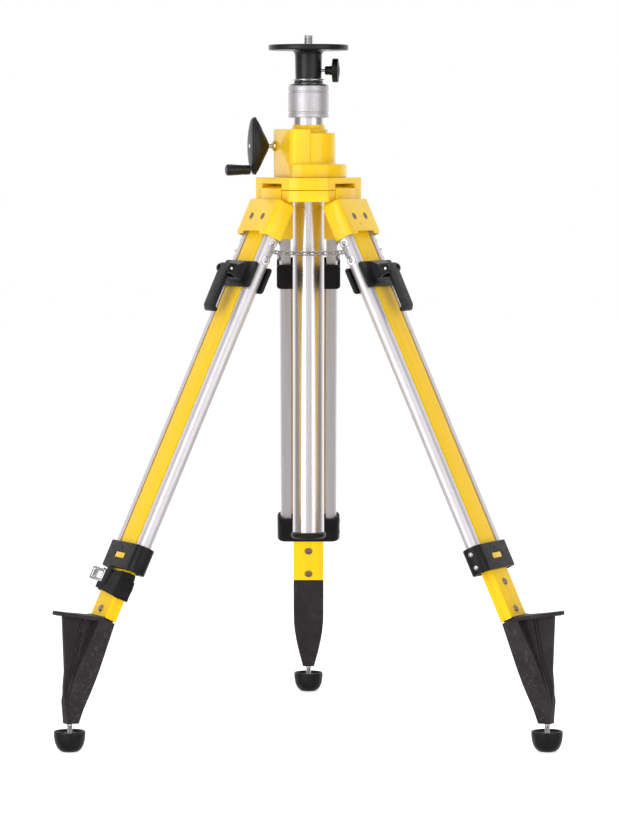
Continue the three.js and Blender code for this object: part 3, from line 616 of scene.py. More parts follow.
# ---------- mast ----------
MAST_R = 27.5
MAST_BORE = 23.7
INNER_R = 23.2
COLLAR_R = 35.5
COLLAR_TOP = 1140.2
COLLAR_BOTTOM = 1083.5


def collar_body():
    def groove(z):
        floor_r = COLLAR_R - 1.4
        return [(COLLAR_R, z - 1.7), (floor_r, z - 0.8), (floor_r, z + 0.8), (COLLAR_R, z + 1.7)]

    profile = (
        [(27.9, COLLAR_BOTTOM + 0.6), (28.5, COLLAR_BOTTOM), (COLLAR_R - 1.1, COLLAR_BOTTOM)]
        + [(COLLAR_R - 0.3, COLLAR_BOTTOM + 0.3), (COLLAR_R, COLLAR_BOTTOM + 1.1)]
        + groove(COLLAR_BOTTOM + 9)
        + groove(COLLAR_TOP - 11.2)
        + arc(COLLAR_R - 2.4, COLLAR_TOP - 2.4, 2.4, 0, 90, 6)
        + [(23.7, COLLAR_TOP), (23.7, COLLAR_TOP - 13.7), (27.9, COLLAR_TOP - 13.7)]
    )
    return turned(profile, 144, ring=True)


def neck_ring():
    """Thin bright snap ring with a rounded rim."""
    rim = arc(27, 1150, 1.5, -80, 80, 8)
    profile = [(18.5, 1148.3), (26.5, 1148.3)] + rim + [(24.5, 1151.9), (18.5, 1151.9)]
    return turned(profile, 120, ring=True)


def outer_tube():
    profile = [(MAST_BORE, 353.6), (MAST_R - 0.4, 353.3), (MAST_R, 353.8)]
    profile += [(MAST_R, 1126), (MAST_BORE, 1126)]
    tube = turned(profile, 120, ring=True)
    flat = block(-6.3, 6.3, -40, -(MAST_R - 1.6), 395, 1073)
    return cut(tube, flat)


def build_mast():
    inner = [(20.5, 560.4), (20.9, 560), (22.8, 560), (23.2, 560.5), (INNER_R, 1147.7), (18, 1147.7)]
    inner += [(18, 1192.6), (15, 1192.6), (15, 1135), (20.5, 1130)]
    piece("mast_inner_tube", turned(inner, 96, ring=True), "inner_mast", POLISHED, MAST, ["inner_mast"])
    piece("neck_snap_ring", neck_ring(), "inner_mast", STEEL, MAST, ["neck_ring"])
    bumper = rounded([(23.5, 1143.9), (25, 1143.9), (25.2, 1145.6), (24.8, 1147.7), (23.5, 1147.7)], 0.4, 3)
    piece("neck_bumper_ring", turned(bumper, 96, ring=True), "inner_mast", RUBBER, MAST, ["neck_bumper"])
    piece("collar_body", collar_body(), "twist_collar", TURNED, MAST, ["knurled_collar"])
    cone = rounded([(23.5, 1140.5), (33.2, 1140.5), (32.6, 1141.4), (25.6, 1143.4), (23.5, 1143.4)], 0.4, 3)
    piece("collar_cone", turned(cone, 120, ring=True), "twist_collar", DARK, MAST, ["collar_cap"])
    piece("mast_outer", outer_tube(), "mast", POLISHED, CRANK, ["mast_tube"])
    cap = rounded(
        [(0, 342.2, 0), (27.5, 342.2, 2.4), (31, 345.5, 2), (31, 350, 1.2), (28.2, 352.9, 0.6)]
        + [(23.3, 353, 0), (23.3, 367, 1), (0, 367, 0)],
        1,
        5,
        False,
    )
    piece("mast_cap", turned(cap, 112), "mast", PLASTIC, MAST, ["mast_end_cap"])
    rim = [(27.6, 351.9), (28.9, 351.6), (29.4, 352.6), (28.4, 353.6), (27.6, 353.6)]
    rim = turned(rounded(rim, 0.3, 3), 112, ring=True)
    piece("mast_cap_rim", rim, "mast", DARK, MAST)


# ---------- gearbox and crank, in the crank's frame: X along the shaft, -Y to the rack ----------
BORE_R = 27.9
BLOCK_FACE = 47
AXIS_W = 43.7
CRANK_Z = 1034
HUB_TOP = 979


def gearbox():
    drum = (
        [(0, HUB_TOP + 0.2), (66.6, HUB_TOP + 0.2), (67.4, HUB_TOP + 1.0)]
        + arc(63.4, 998.7, 4, 0, 90, 8)
        + [(52.2, 1002.7)]
        + arc(52.2, 1007.3, 4.6, 270, 180, 6)
        + arc(45.4, 1054.8, 2.2, 0, 90, 5)
        + [(35.2, 1057)]
        + arc(35.2, 1058.2, 1.2, 270, 180, 3)
        + [(34, 1062.6)]
        + arc(33.6, 1068.0, 5.1, 270, 180, 6)
        + [(28.9, 1071.2), (28.4, 1071.7), (0, 1071.7)]
    )
    drum = [(r, min(z, 1071)) if z > 1070.9 else (r, z) for r, z in drum]
    body = turned(drum, 144)
    body = cut(body, block(BLOCK_FACE - 0.4, 80, -80, 80, 970, 1080))
    plan = [(12, 47, 0), (BLOCK_FACE, 47, 16), (BLOCK_FACE, -61, 14), (-17, -61, 12)]
    plan += [(-17, -12, 0), (12, -12, 0)]
    house = softened(prism(rounded(plan, 10, 14), HUB_TOP + 0.2, 1064), 3.0, 5, 40)
    return cut(
        join(body, house),
        rod(BORE_R, 970, 1080, "Z", 0, 96),
        block(-6.9, 6.9, -33.9, 0, 970, 1080),
        shifted(rod(15.3, -11, 11, "X", 0, 64), move(0, -AXIS_W, CRANK_Z)),
        shifted(rod(7.8, 30, 60, "X", 0, 48), move(0, -AXIS_W, CRANK_Z)),
    )


# distance along the shaft, half height, half width
ARM_STATIONS = [
    (61, 8, 8), (62.2, 11, 9), (64.5, 15.5, 11.5), (67.5, 20.5, 14), (71, 27, 16), (74, 33, 17.4),
    (77, 39, 18.4), (80, 44.6, 19), (83, 48.6, 19.4), (87, 51, 19.5), (90.4, 50.4, 19.3), (92.4, 48, 18.6),
    (93.5, 44, 17), (94, 38, 14), (94, 20, 7),
]


def crank_arm_mesh():
    """Arm that narrows from a long, domed and rounded face to a round hub, in the crank's frame."""
    angles = 128
    bm = bmesh.new()
    rings = []
    for x, z_half, y_half in ARM_STATIONS:
        blend = min(1.0, (x - 61) / 14)
        ring = []
        for i in range(angles):
            a = 2 * pi * (i + 0.5) / angles
            c, s = cos(a), sin(a)
            z = s * z_half
            waist = y_half * (1 - 0.42 * min(1.0, abs(s) / 0.8) ** 2.2)
            cap = max(0.0, 1 - max(0.0, (abs(s) - 0.8) / 0.2) ** 2) ** 0.5
            face = waist * cap * copysign(min(1.0, abs(c) * 5) ** 0.5, c)
            y = (1 - blend) * c * y_half + blend * face
            dome = 3.2 * (z / 51) ** 2 + 1.0 * (y / 19.5) ** 2 if x > 85 else 0
            ring.append(bm.verts.new((x - dome, y, z)))
        rings.append(ring)
    bridge(bm, *rings)
    bm.faces.new(rings[0])
    centre = bm.verts.new((94, 0, 0))
    for i in range(angles):
        bm.faces.new((rings[-1][i], rings[-1][(i + 1) % angles], centre))
    return to_mesh(bm)


def build_gearbox():
    piece("gearbox_body", gearbox(), "hub", YELLOW, CRANK, ["gearbox_housing"])
    shaft_frame = CRANK @ move(0, -AXIS_W, CRANK_Z)
    bush = rounded(
        [(4.3, 30.3), (7.5, 30.3), (7.5, 47.2, 0.2), (9.2, 47.2), (9.6, 49.4), (7.8, 52), (4.3, 52)], 0.6, 4
    )
    piece("bush_sleeve", turned(bush, 72, ring=True, axis="X"), "hub", BRASS, shaft_frame, ["crank_bush"])
    teeth = []
    for i in range(10):
        for radius, half in ((9.7, -1.9), (14.4, -0.7), (14.4, 0.7), (9.7, 1.9)):
            a = (i * 36 + 90) * DEG + half / radius
            teeth.append((radius * cos(a), radius * sin(a)))
    gear = gathered(prism(teeth, -8, 8, "X"), rod(4, -13.5, 65, "X", 0.4))
    piece("crank_spindle", gear, "crank", STEEL, shaft_frame, ["pinion_shaft"])
    piece("crank_lever", crank_arm_mesh(), "crank", SATIN, shaft_frame, ["crank_arm"], 40)
    arm_bolt = rounded([(0, 94.6), (3.0, 94.6), (4.6, 93.4), (4.6, 90), (0, 90)], 0.4, 3, False)
    arm_bolt = turned(arm_bolt, 48, axis="X")
    piece("crank_bolt", arm_bolt, "crank", STEEL, shaft_frame)
    grip = rounded(
        [(3.3, 94.4), (8.3, 94.4, 1), (8.8, 104), (8.4, 106), (9.0, 112), (10, 130, 4), (10, 136, 2.5)]
        + [(7, 138, 2), (0, 138, 0)],
        0.8,
        5,
        False,
    )
    piece(
        "crank_grip_body",
        turned(grip, 80, axis="X"),
        "crank_grip",
        SATIN,
        CRANK @ move(0, -AXIS_W, CRANK_Z - 42),
        ["crank_handle"],
    )
    pin = rod(3, 88, 130, "X", 0.3, 32)
    piece("crank_grip_pin", pin, "crank", STEEL, CRANK @ move(0, -AXIS_W, CRANK_Z - 42))


# ---------- hub ----------
HUB_R = 94
HUB_FLAT = 75
SLOT_HALF = 34.6


def hub_outline():
    """Round plate with a flat over each leg, its corners eased."""
    half = degrees(acos(HUB_FLAT / HUB_R))
    points = []
    for azimuth in LEGS.values():
        points += arc(0, 0, HUB_R, azimuth + half + 1.2, azimuth + 120 - half - 1.2, 40)
    return points


def hub_section(z0, z1, edge):
    body = softened(prism(hub_outline(), z0, z1), edge, 3, 25)
    cutters = [rod(29, z0 - 2, z1 + 2, "Z", 0, 96)]
    for azimuth in LEGS.values():
        slot = rounded([(42, -SLOT_HALF), (110, -SLOT_HALF), (110, SLOT_HALF), (42, SLOT_HALF)], 3, 4)
        cutters.append(shifted(prism(slot, 930, 968.5), spin(azimuth)))
    cutters.append(shifted(block(-6.9, 6.9, -33.9, 0, z0 - 2, z1 + 2), spin(CRANK_AZIMUTH)))
    return cut(body, *cutters)


def build_hub():
    piece("hub_top", hub_section(957.3, HUB_TOP - 0.1, 1.6), "hub", YELLOW, MAST, ["hub_plate"])
    piece("hub_bottom", hub_section(937.1, 956.7, 1.2), "hub", YELLOW, MAST, ["hub_base"])
    pin = rounded([(0, -61.8), (3.2, -61.8), (4, -61), (4, 61), (3.2, 61.8), (0, 61.8)], 0.3, 2, False)
    pin_mesh = turned(pin, 40, axis="Y")
    screw = pan_screw(5.2, 2.6)
    for side, matrix in HUB_SIDE.items():
        place = matrix @ move(HINGE, 0, HINGE_Z)
        piece(side + "_hinge_rod", pin_mesh, "hub", STEEL, place, [side + "_hinge_pin"])
        for sign in (-1, 1):
            under = matrix @ move(52, sign * 52, 937.3) @ spin(180, "X")
            piece(f"{side}_hub_screw_{'ab'[sign > 0]}", screw, "hub", STEEL, under)


# ---------- fasteners ----------
def pan_screw(radius, height, stub=1.5):
    """Pan head with a cross recess, along Z from its seat at zero."""
    head = turned(
        [(0, -stub), (radius * 0.5, -stub), (radius * 0.5, 0), (radius - 0.2, 0), (radius, 0.3)]
        + [(radius * cos(t * DEG), 0.3 + (height - 0.3) * sin(t * DEG)) for t in (20, 40, 60)]
        + [(radius * 0.3, height), (0, height)],
        40,
    )
    arm = radius * 0.56
    width = radius * 0.14
    cross = [
        (arm, width), (width, width), (width, arm), (-width, arm), (-width, width), (-arm, width),
        (-arm, -width), (-width, -width), (-width, -arm), (width, -arm), (width, -width), (arm, -width),
    ]
    return cut(head, prism(cross, height * 0.35, height + 1))


def domed_bolt(radius, height):
    """Domed nut on a thin flange, along Z from its seat at zero."""
    flange = turned(rounded([(0, -1), (radius, -1), (radius, 0.9), (0, 0.9)], 0.4, 3, False), 56)
    side = radius * 0.74
    cap = [(0, 0), (side, 0), (side, height * 0.55)]
    for t in (25, 50, 70):
        cap.append((side * cos(t * DEG), height * (0.55 + 0.45 * sin(t * DEG))))
    cap.append((0, height))
    body = turned(cap, 48)
    flats = prism(arc(0, 0, side * 1.09, 0, 300, 5), -1, height + 1)
    return gathered(limit(body, flats), flange)


# ---------- leg pieces, in the leg's frame: X out of its face, Y across, -Z down the leg ----------
RAIL_TOP = 24.5
RAIL_BOTTOM = 710
RAIL_IN = 32
RAIL_OUT = 52
RAIL_R = 12
EYES = (91, 124)
PIVOT_N = 39
PIVOT_S = 158
LEVER_HALF = 15


def rail_mesh(sign):
    """Hollow rail: flat inner face, round outer side."""

    def section(inset):
        r = RAIL_R - inset
        inner = RAIL_IN + inset
        points = [(-r, inner), (-r / 2, inner), (r / 2, inner), (r, inner)]
        points += arc(0, RAIL_OUT - RAIL_R, r, 0, 180, 28)
        return [(x, sign * y) for x, y in points]

    soft = rounded([(x, y, 0.8 if i in (0, 3) else 0) for i, (x, y) in enumerate(section(0))], 0, 3)
    hole = rounded([(x, y, 0.3 if i in (0, 3) else 0) for i, (x, y) in enumerate(section(2))], 0, 3)
    return prism(soft, -RAIL_BOTTOM, -RAIL_TOP, hole=hole)


def shoulder_mesh():
    half = 55
    outer = softened(prism(rounded_box(-14.5, 22, -half, half, 8.5, 8), -82.5, -16.5), 2.2, 4, 40)
    inside = prism(rounded_box(-12.3, 19, -52.4, 52.4, 5, 6), -84, -24)
    arch = prism(rounded([(-30, -84), (30, -84), (30, -77.6, 2.5), (-30, -77.6, 2.5)], 0, 4), 16, 24, "X")
    spread = SPLAY * DEG

    def hub_point(r, z):
        return (
            r * cos(spread) + z * sin(spread),
            -r * sin(spread) + z * cos(spread),
        )

    outline = [(-13, -18), (13, -18), hub_point(14.5, -9), hub_point(14.5, 12)] + arc(0, 0, 16, 45, 205, 20)
    tongue = softened(prism(outline, -SLOT_HALF + 0.8, SLOT_HALF - 0.8, "Y"), 0.9, 3, 35)
    dimples = [
        shifted(rod(6.4, 20.6, 24, "X", 0, 40), move(0, y, -50)) for y in (-19.5, 19.5)
    ]
    shell = join(cut(outer, inside, arch, *dimples), tongue)
    return cut(shell, rod(4.3, -40, 40, "Y", 0, 40))


def shoulder_seam():
    """Raised parting line round the shoulder's side."""
    path = [Vector((3.5, 55.0, -z)) for z in (19, 30, 45, 60, 72, 81)]
    return sweep(path, 0.5, 8)


def clamp_mesh():
    plate_outline = rounded_box(-57, 57, -181, -133, 6.5, 6)
    front = softened(prism(plate_outline, 12.3, 17.3, "X"), 1.6, 3, 40)
    rear = softened(prism(plate_outline, -17.3, -12.3, "X"), 1.6, 3, 40)
    side = [(-46, 16), (-40, 17.3), (-33, 18.6), (-27, 22), (-22.5, 28), (-20.3, 36), (-20.3, 49)]
    profile = [(n, t) for t, n in side] + [(n, -t) for t, n in reversed(side)]
    fairing = prism(profile, -178.5, -135)
    crown = [(14, -178), (18, -177.5, 2), (21, -170, 3), (30, -166.5, 3)]
    crown += [(n, z, 0) for n, z in arc(PIVOT_N, -PIVOT_S, 8.5, -70, 95, 14)]
    crown += [(30, -146, 8), (23, -137.5, 3), (17, -134.5, 2), (14, -134)]
    ears = limit(fairing, prism(rounded(crown, 0, 4), -50, 50, "Y"))
    webs = [block(-13, 13, s * 30 - 1.4, s * 30 + 1.4, -175, -139) for s in (-1, 1)]
    body = join(front, rear, *webs, ears)
    slot_outline = [(24.5, -182), (60, -182), (60, -130), (33, -130), (28, -146), (24.5, -150)]
    slot = prism(slot_outline, -LEVER_HALF - 0.4, LEVER_HALF + 0.4, "Y")
    hole = shifted(rod(3.3, -40, 40, "Y", 0, 40), move(PIVOT_N, 0, -PIVOT_S))
    return cut(body, slot, hole)


def lever_mesh():
    """Curved clamp lever with side walls and a hooked tip."""
    top = PIVOT_N + 6.5
    inner = PIVOT_N + 3.2
    outline = [(x, z, 0) for x, z in arc(PIVOT_N, -PIVOT_S, 8.6, 125, 300, 18)]
    outline += [
        (PIVOT_N - 1.2, -PIVOT_S - 13, 4), (PIVOT_N - 1.6, -229, 5), (PIVOT_N - 6.8, -231, 1.5),
        (PIVOT_N - 7.6, -235.5, 1.5), (PIVOT_N - 4, -238, 2), (top - 6, -238, 5), (top - 0.4, -230, 7),
        (top, -PIVOT_S - 20, 20), (top, -PIVOT_S + 10.4, 11),
    ]
    grip = softened(prism(rounded(outline, 0, 7), -LEVER_HALF, LEVER_HALF, "Y"), 1.8, 4, 40)
    outer = PIVOT_N - 12
    trough = [(outer, -PIVOT_S - 11), (inner, -PIVOT_S - 11, 3), (inner, -228, 4), (outer, -228)]
    hollow = prism(rounded(trough, 0, 5), 2.6 - LEVER_HALF, LEVER_HALF - 2.6, "Y")
    hole = shifted(rod(3.3, -20, 20, "Y", 0, 40), move(PIVOT_N, 0, -PIVOT_S))
    return cut(grip, hollow, hole)


def lever_pin_mesh():
    profile = [(0, -21.2), (2.2, -21.2, 0.8), (3.1, -20.2), (3.1, 20.2), (2.2, 21.2, 0.8), (0, 21.2)]
    return turned(rounded(profile, 0.3, 4, False), 48, axis="Y")


def collar_mesh():
    outer = softened(prism(rounded_box(-18, 18, -58, 58, 15, 10), -713, -665), 1.8, 4, 40)
    inside = prism(rounded_box(-12.3, 12.3, -52.3, 52.3, 12.1, 10), -715, -663)
    window = prism(rounded_box(-17, 17, -695, -684, 1.5, 4), 10, 20, "X")
    tick = prism([(-2.6, -674.5), (2.6, -674.5), (0, -680)], 17.4, 20, "X")
    return cut(outer, inside, window, tick)


def insert_mesh():
    """Yellow key that fills the collar's window."""
    return softened(prism(rounded_box(-16.4, 16.4, -694.5, -684.5, 1.2, 4), 11.9, 17.2, "X"), 0.6, 3, 40)


def inner_leg_mesh():
    x, y = 11.5, 28
    outer = [
        (x, y, 2.2), (3.6, y, 0.4), (3.6, y - 1.6, 0.3), (-3.6, y - 1.6, 0.3), (-3.6, y, 0.4), (-x, y, 2.2),
        (-x, -y, 2.2), (-3.6, -y, 0.4), (-3.6, 1.6 - y, 0.3), (3.6, 1.6 - y, 0.3), (3.6, -y, 0.4),
        (x, -y, 2.2),
    ]
    solid = prism(rounded(outer, 0, 4), -801, -30)
    hollow = prism(rounded_box(2 - x, x - 2, 4 - y, y - 4, 1.2, 3), -770, -28)
    return cut(solid, hollow)


FOOT_BOTTOM = 48
FOOT_SECTIONS = [
    (231, 394, 427, 28, 28),
    (218, 398.8, 431, 28, 27),
    (187, 410.5, 445, 28, 22),
    (156, 422.3, 457.5, 28, 17),
    (136, 429.9, 465, 27.6, 13),
    (118, 436.7, 470.8, 25.8, 10.6),
    (101, 443.1, 475, 23.2, 9.2),
    (75, 453, 480, 17.6, 8.8),
    (60, 456.8, 481.2, 13.6, 8.6),
    (FOOT_BOTTOM, 459.5, 481, 10.5, 8.4),
]
STEP_TIP, STEP_TOP, STEP_THICK, STEP_TILT = 500, 243.5, 7, 9.3


def foot_shell():
    """Tapering shell with a slightly crowned inner face, lofted from section to section."""
    bm = bmesh.new()
    rings = []
    for z, inner, outer, inner_half, outer_half in FOOT_SECTIONS:
        outline = [(outer, -outer_half)]
        outline += [(inner - 1.4 * (1 - (k / 5) ** 2), inner_half * k / 5) for k in range(-5, 6)]
        outline.append((outer, outer_half))
        rings.append([bm.verts.new((x, y, z)) for x, y in outline])
    bridge(bm, *rings)
    bm.faces.new(rings[0])
    bm.faces.new(rings[-1])
    return to_mesh(bm)


def foot_mesh():
    """Cast foot in the hub-side frame: shell, stepped rib, web, step plate with its tab, and tongue."""
    ribs = []
    for half, back in ((8.4, 0), (5.2, 4.2)):
        outline = [(420, 229), (466, 49), (480.6, 49), (484 + back * 0.1, 88, 30), (477.5 + back, 115, 40)]
        outline += [(464.5 + back, 149, 60), (447 + back, 229)]
        ribs.append(prism(rounded(outline, 0, 6), -half, half, "Y"))
    web_outline = [(412, 229), (470, 60), (481, 60), (484, 90, 20), (484, 112, 30), (481.4, 139, 60)]
    web_outline.append((485, 236))
    web = prism(rounded(web_outline, 0, 6), -3.2, 3.2, "Y")
    tilt = move(STEP_TIP, 0, STEP_TOP) @ spin(-STEP_TILT, "Y") @ move(-STEP_TIP, 0, 0)
    half_plate = [(402, -28, 2), (422, -28, 12), (482, -9, 3), (486, -9)]
    plate_outline = rounded(half_plate + [(x, -y, *r) for x, y, *r in reversed(half_plate)], 0, 7)
    plate = shifted(softened(prism(plate_outline, -STEP_THICK, -0.4), 1.1, 3, 40), tilt)
    tab_outline = rounded_box(481, STEP_TIP, -8, 8, 2.4, 5)
    tab = shifted(softened(prism(tab_outline, -STEP_THICK, 0), 1.3, 3, 40), tilt)
    groove = shifted(prism(rounded_box(485.2, 487.4, -12, 12, 0.6, 3), -2.2, 1.5), tilt)
    hinge_to_leg = move(HINGE, 0, HINGE_Z) @ spin(-SPLAY, "Y")
    above = shifted(block(-60, 0, -40, 40, 0, 70), move(418.8, 0, 227.5) @ spin(-SPLAY, "Y"))
    body = cut(join(foot_shell(), *ribs, web, plate), above)
    body = join(body, tab)
    body = cut(body, groove, shifted(rod(7.5, 40, 68, "Z", 0, 48), move(472, 0, 0)))
    tongue = shifted(block(-8.4, 8.4, -23, 23, -803, -748), hinge_to_leg)
    return softened(join(body, tongue), 0.8, 2, 38)


def stem_mesh():
    """Zinc stem with a thread below its ball."""

    def thread(a, r, z):
        if r < 4 or not 30 < z < 44:
            return r
        phase = (z / 1.25 - a / (2 * pi)) % 1.0
        return r - 0.6 * (1 - abs(2 * phase - 1))

    profile = [(0, 19.2), (4.4, 19.2)] + [(4.5, 30 + i * 0.25) for i in range(60)]
    profile += [(4.5, 55)] + arc(0, 61, 5.8, -35, 90, 12)[:-1] + [(0, 66.8)]
    return turned(profile, 40, wobble=thread)


def pad_mesh():
    profile = [
        (0, 0), (13.6, 0), (15.2, 0.5), (19.6, 4.0), (22.8, 8.8), (25.0, 14.2), (26.4, 20.5), (27.2, 27),
        (27.5, 32.6), (27.3, 34.3), (26.4, 35), (25.0, 34.4), (22.0, 31.0), (18, 29.0), (12, 29.4),
        (9.6, 31.8), (8.4, 32.2), (7.2, 31.6), (4.8, 30), (4.8, 19), (0, 19),
    ]

    def uneven(a, r, z):
        return r - 0.7 * (0.5 + 0.5 * sin(3 * a + 0.8)) * (z / 35) if r > 20 else r

    return turned(rounded(profile, 0.6, 3, False), 88, wobble=uneven)


def eye_set():
    washer = turned(rounded([(2.5, 0), (8, 0), (8, 1.4), (2.5, 1.4)], 0.4, 3), 56, ring=True)
    return washer, pan_screw(4, 3.0)


def to_side(sign, n, s, t):
    """Frame on a rail's side: Z points away from the leg across it."""
    return move(n, sign * t, -s) @ spin(-90 * sign, "X")


def build_legs():
    rails = {1: rail_mesh(1), -1: rail_mesh(-1)}
    shoulder, clamp = shoulder_mesh(), clamp_mesh()
    lever, lever_rod = lever_mesh(), lever_pin_mesh()
    ring, collar_key, inner = collar_mesh(), insert_mesh(), inner_leg_mesh()
    foot, stem, pad = foot_mesh(), stem_mesh(), pad_mesh()
    seam = shoulder_seam()
    washer, eye_screw = eye_set()
    glide_strip = prism(rounded([(-5, 28.5), (5, 28.5), (5, 31.8), (-5, 31.8)], 0.5, 3), -660, -186)
    collar_screw = pan_screw(4.4, 2.2)
    bolt = domed_bolt(7.2, 4.4)
    plug = turned([(0, -0.3), (3.5, 0.0), (6.3, 0.7), (6.3, -2), (0, -2)], 40, axis="X")
    mark = softened(prism(rounded_box(-9, 9, -66.5, -64, 1.2, 4), 21, 22.5, "X"), 0.4, 2, 40)
    boss = rounded([(3.2, 0), (7.6, 0), (7.6, 0.9), (6.2, 1.0), (5.6, 0.4), (3.2, 0.4)], 0.25, 3)
    boss = turned(boss, 56, ring=True)
    for side, matrix in LEG.items():
        body, lower, foot_body = side + "_leg", side + "_lower_leg", side + "_foot"
        on_pivot = matrix @ move(PIVOT_N, 0, -PIVOT_S)
        for name, mesh, rides, material, place, node in (
            ("shoulder_body", shoulder, "leg", YELLOW, matrix, "shoulder"),
            ("shoulder_mark", mark, "leg", YELLOW, matrix, None),
            ("shoulder_seam_a", seam, "leg", YELLOW, matrix, None),
            ("shoulder_seam_b", seam, "leg", YELLOW, matrix @ spin(180) @ move(-7, 0, 0), None),
            ("collar_key", collar_key, "leg", YELLOW, matrix, None),
            ("clamp_frame", clamp, "leg", PLASTIC, matrix, "clamp_body"),
            ("lever_rod", lever_rod, "leg", STEEL, on_pivot, "lever_pin"),
            ("lever_grip", lever, "lever", PLASTIC, matrix, "clamp_lever"),
            ("guide_ring", ring, "leg", PLASTIC, matrix, "guide_collar"),
            ("inner_bar", inner, "lower_leg", YELLOW_LEG, matrix, "inner_leg"),
        ):
            nodes = [f"{side}_{node}"] if node else ()
            piece(f"{side}_{name}", mesh, f"{side}_{rides}", material, place, nodes)
        for sign, letter in ((1, "a"), (-1, "b")):
            piece(f"{side}_rail_tube_{letter}", rails[sign], body, DRAWN, matrix, [f"{side}_rail_{letter}"])
            piece(f"{side}_glide_strip_{letter}", glide_strip, body, GLIDE, matrix @ spin(90 - 90 * sign))
            piece(f"{side}_plug_{letter}", plug, body, PLUG_SHADED, matrix @ move(21.2, sign * 19.5, -50))
            place = matrix @ to_side(sign, PIVOT_N, PIVOT_S, 20.2)
            piece(f"{side}_pin_boss_{letter}", boss, body, PLASTIC, place)
            for k, station in enumerate(EYES):
                place = matrix @ to_side(sign, 0, station, RAIL_OUT)
                piece(f"{side}_eye_washer_{letter}{k}", washer, body, STEEL, place)
                piece(f"{side}_eye_screw_{letter}{k}", eye_screw, body, STEEL, place @ move(0, 0, 1.4))
        for k, station in enumerate((677, 701)):
            place = matrix @ to_side(-1, 0, station, 57.6)
            piece(f"{side}_collar_screw_{k}", collar_screw, body, STEEL, place)
        for k, station in enumerate((737, 787)):
            for face, letter in ((1, "a"), (-1, "b")):
                turn = spin(90 * face, "Y")
                place = matrix @ move(face * 11.5, 0, -station) @ turn
                piece(f"{side}_leg_bolt_{letter}{k}", bolt, lower, ZINC, place)
        piece(side + "_foot_shell", foot, lower, GRAIN, HUB_SIDE[side], [side + "_foot_casting"], 32, True)
        centre = HUB_SIDE[side] @ move(472, 0, 0)
        piece(side + "_stem_rod", stem, foot_body, STEEL, centre, [side + "_foot_stem"], 50)
        piece(side + "_pad_cup", pad, foot_body, RUBBER, centre, [side + "_foot_pad"], placed=True)


# ---------- strap on the left leg ----------
STRAP_START, STRAP_END = 716, 759
STRAP_THICK = 1.5


def strap_loop(n, t, s0, s1, tilt, fold):
    """A band wound round the inner leg between two stations, its edges askew by tilt.
    fold is how far it stands off the corner that carries the buckle."""
    outline = rounded_box(-n, n, -t, t, 5, 10)
    inner = rounded_box(STRAP_THICK - n, n - STRAP_THICK, STRAP_THICK - t, t - STRAP_THICK, 4, 10)
    bm = bmesh.new()
    rows = []
    steps = 10
    for loop in (outline, inner):
        grid = []
        for k in range(steps + 1):
            v = k / steps
            row = []
            for (x, y), (ox, oy) in zip(loop, outline):
                lean = max(0.0, (-oy / t + ox / n) / 2 - 0.35) / 0.65
                crease = 0.5 * sin(pi * v) + 0.4 * sin(7 * v + oy * 0.2)
                off = fold * lean ** 2 * (0.75 + 0.25 * v) + crease
                z = -(s0 + (s1 - s0) * v) + tilt * y / t + 0.6 * sin(ox * 0.5 + oy * 0.19)
                row.append(bm.verts.new((x + off * ox / n * 0.55, y + off * oy / t, z)))
            grid.append(row)
        rows.append(grid)
    for grid in rows:
        bridge(bm, *grid)
    for k in (0, -1):
        bridge(bm, rows[0][k], rows[1][k])
    return softened(to_mesh(bm), 0.35, 2, 50)


def buckle_mesh():
    outer = rounded_box(-14, 14, -11.5, 11.5, 2.5, 5)
    plate = softened(prism(outer, 0, 3.2), 1.0, 3, 40)
    field = softened(prism(rounded_box(-11.2, 11.2, -8.6, 8.6, 1.5, 5), 2.4, 5), 0.2, 2, 40)
    tongue = softened(prism(rounded_box(-9.6, 9.6, -7.2, 7.2, 1.5, 5), 1.8, 3.0), 0.5, 2, 40)
    bar = rod(1.3, -12, 12, "X", 0.3, 24)
    return gathered(cut(plate, field), tongue, shifted(bar, move(0, -9.8, 1.6)))


def build_strap():
    matrix = LEG["left"]
    low, high = STRAP_START, STRAP_END
    under = strap_loop(13.8, 30.4, low + 1, high - 5, 2.0, 6)
    over = strap_loop(15.8, 32.2, low + 6, high - 1, -4.5, 9)
    piece("strap_band", under, "left_lower_leg", WEBBING, matrix, ["leg_strap"], 40)
    piece("strap_band_over", over, "left_lower_leg", WEBBING, matrix, (), 40)
    tail = softened(prism(rounded_box(-9, 9, -12, 22, 3, 4), 0, 1.6), 0.5, 2, 40)
    place = matrix @ move(18.0, -14, 3.5 - (low + high) / 2) @ spin(90, "Y") @ spin(78)
    piece("strap_tail", tail, "left_lower_leg", WEBBING, place)
    place = matrix @ move(22.0, -38, 6 - (low + high) / 2) @ spin(26) @ spin(90, "Y") @ spin(90)
    piece("buckle_ring", buckle_mesh(), "left_lower_leg", STEEL, place, ["strap_buckle"])


# ---------- chains ----------
LINKS = 10
SAG = 2.7
WIRE_R = 1.35
APEX = 64.2


def leg_point(side, n, t, s):
    return LEG[side] @ (Vector((n, t, -s)) * MM)


def link_loop(start, end, roll):
    """One welded link between two points: an oval of round wire, turned about its length."""
    along = end - start
    length = along.length
    forward = along.normalized()
    flat = forward.cross(Vector((0, 0, 1))).normalized()
    across = Matrix.Rotation(roll * DEG, 3, forward) @ flat
    half = length / 2 + 1.8
    centre = (start + end) / 2
    width = 3.5
    points = []
    for i in range(28):
        a = 2 * pi * i / 28
        c, s = cos(a), sin(a)
        u = (half - width) * (1 if c > 0 else -1) * min(1, abs(c) * 3) + width * c
        points.append(centre + forward * u + across * (width * s))
    return sweep(points, WIRE_R, 8, closed=True)


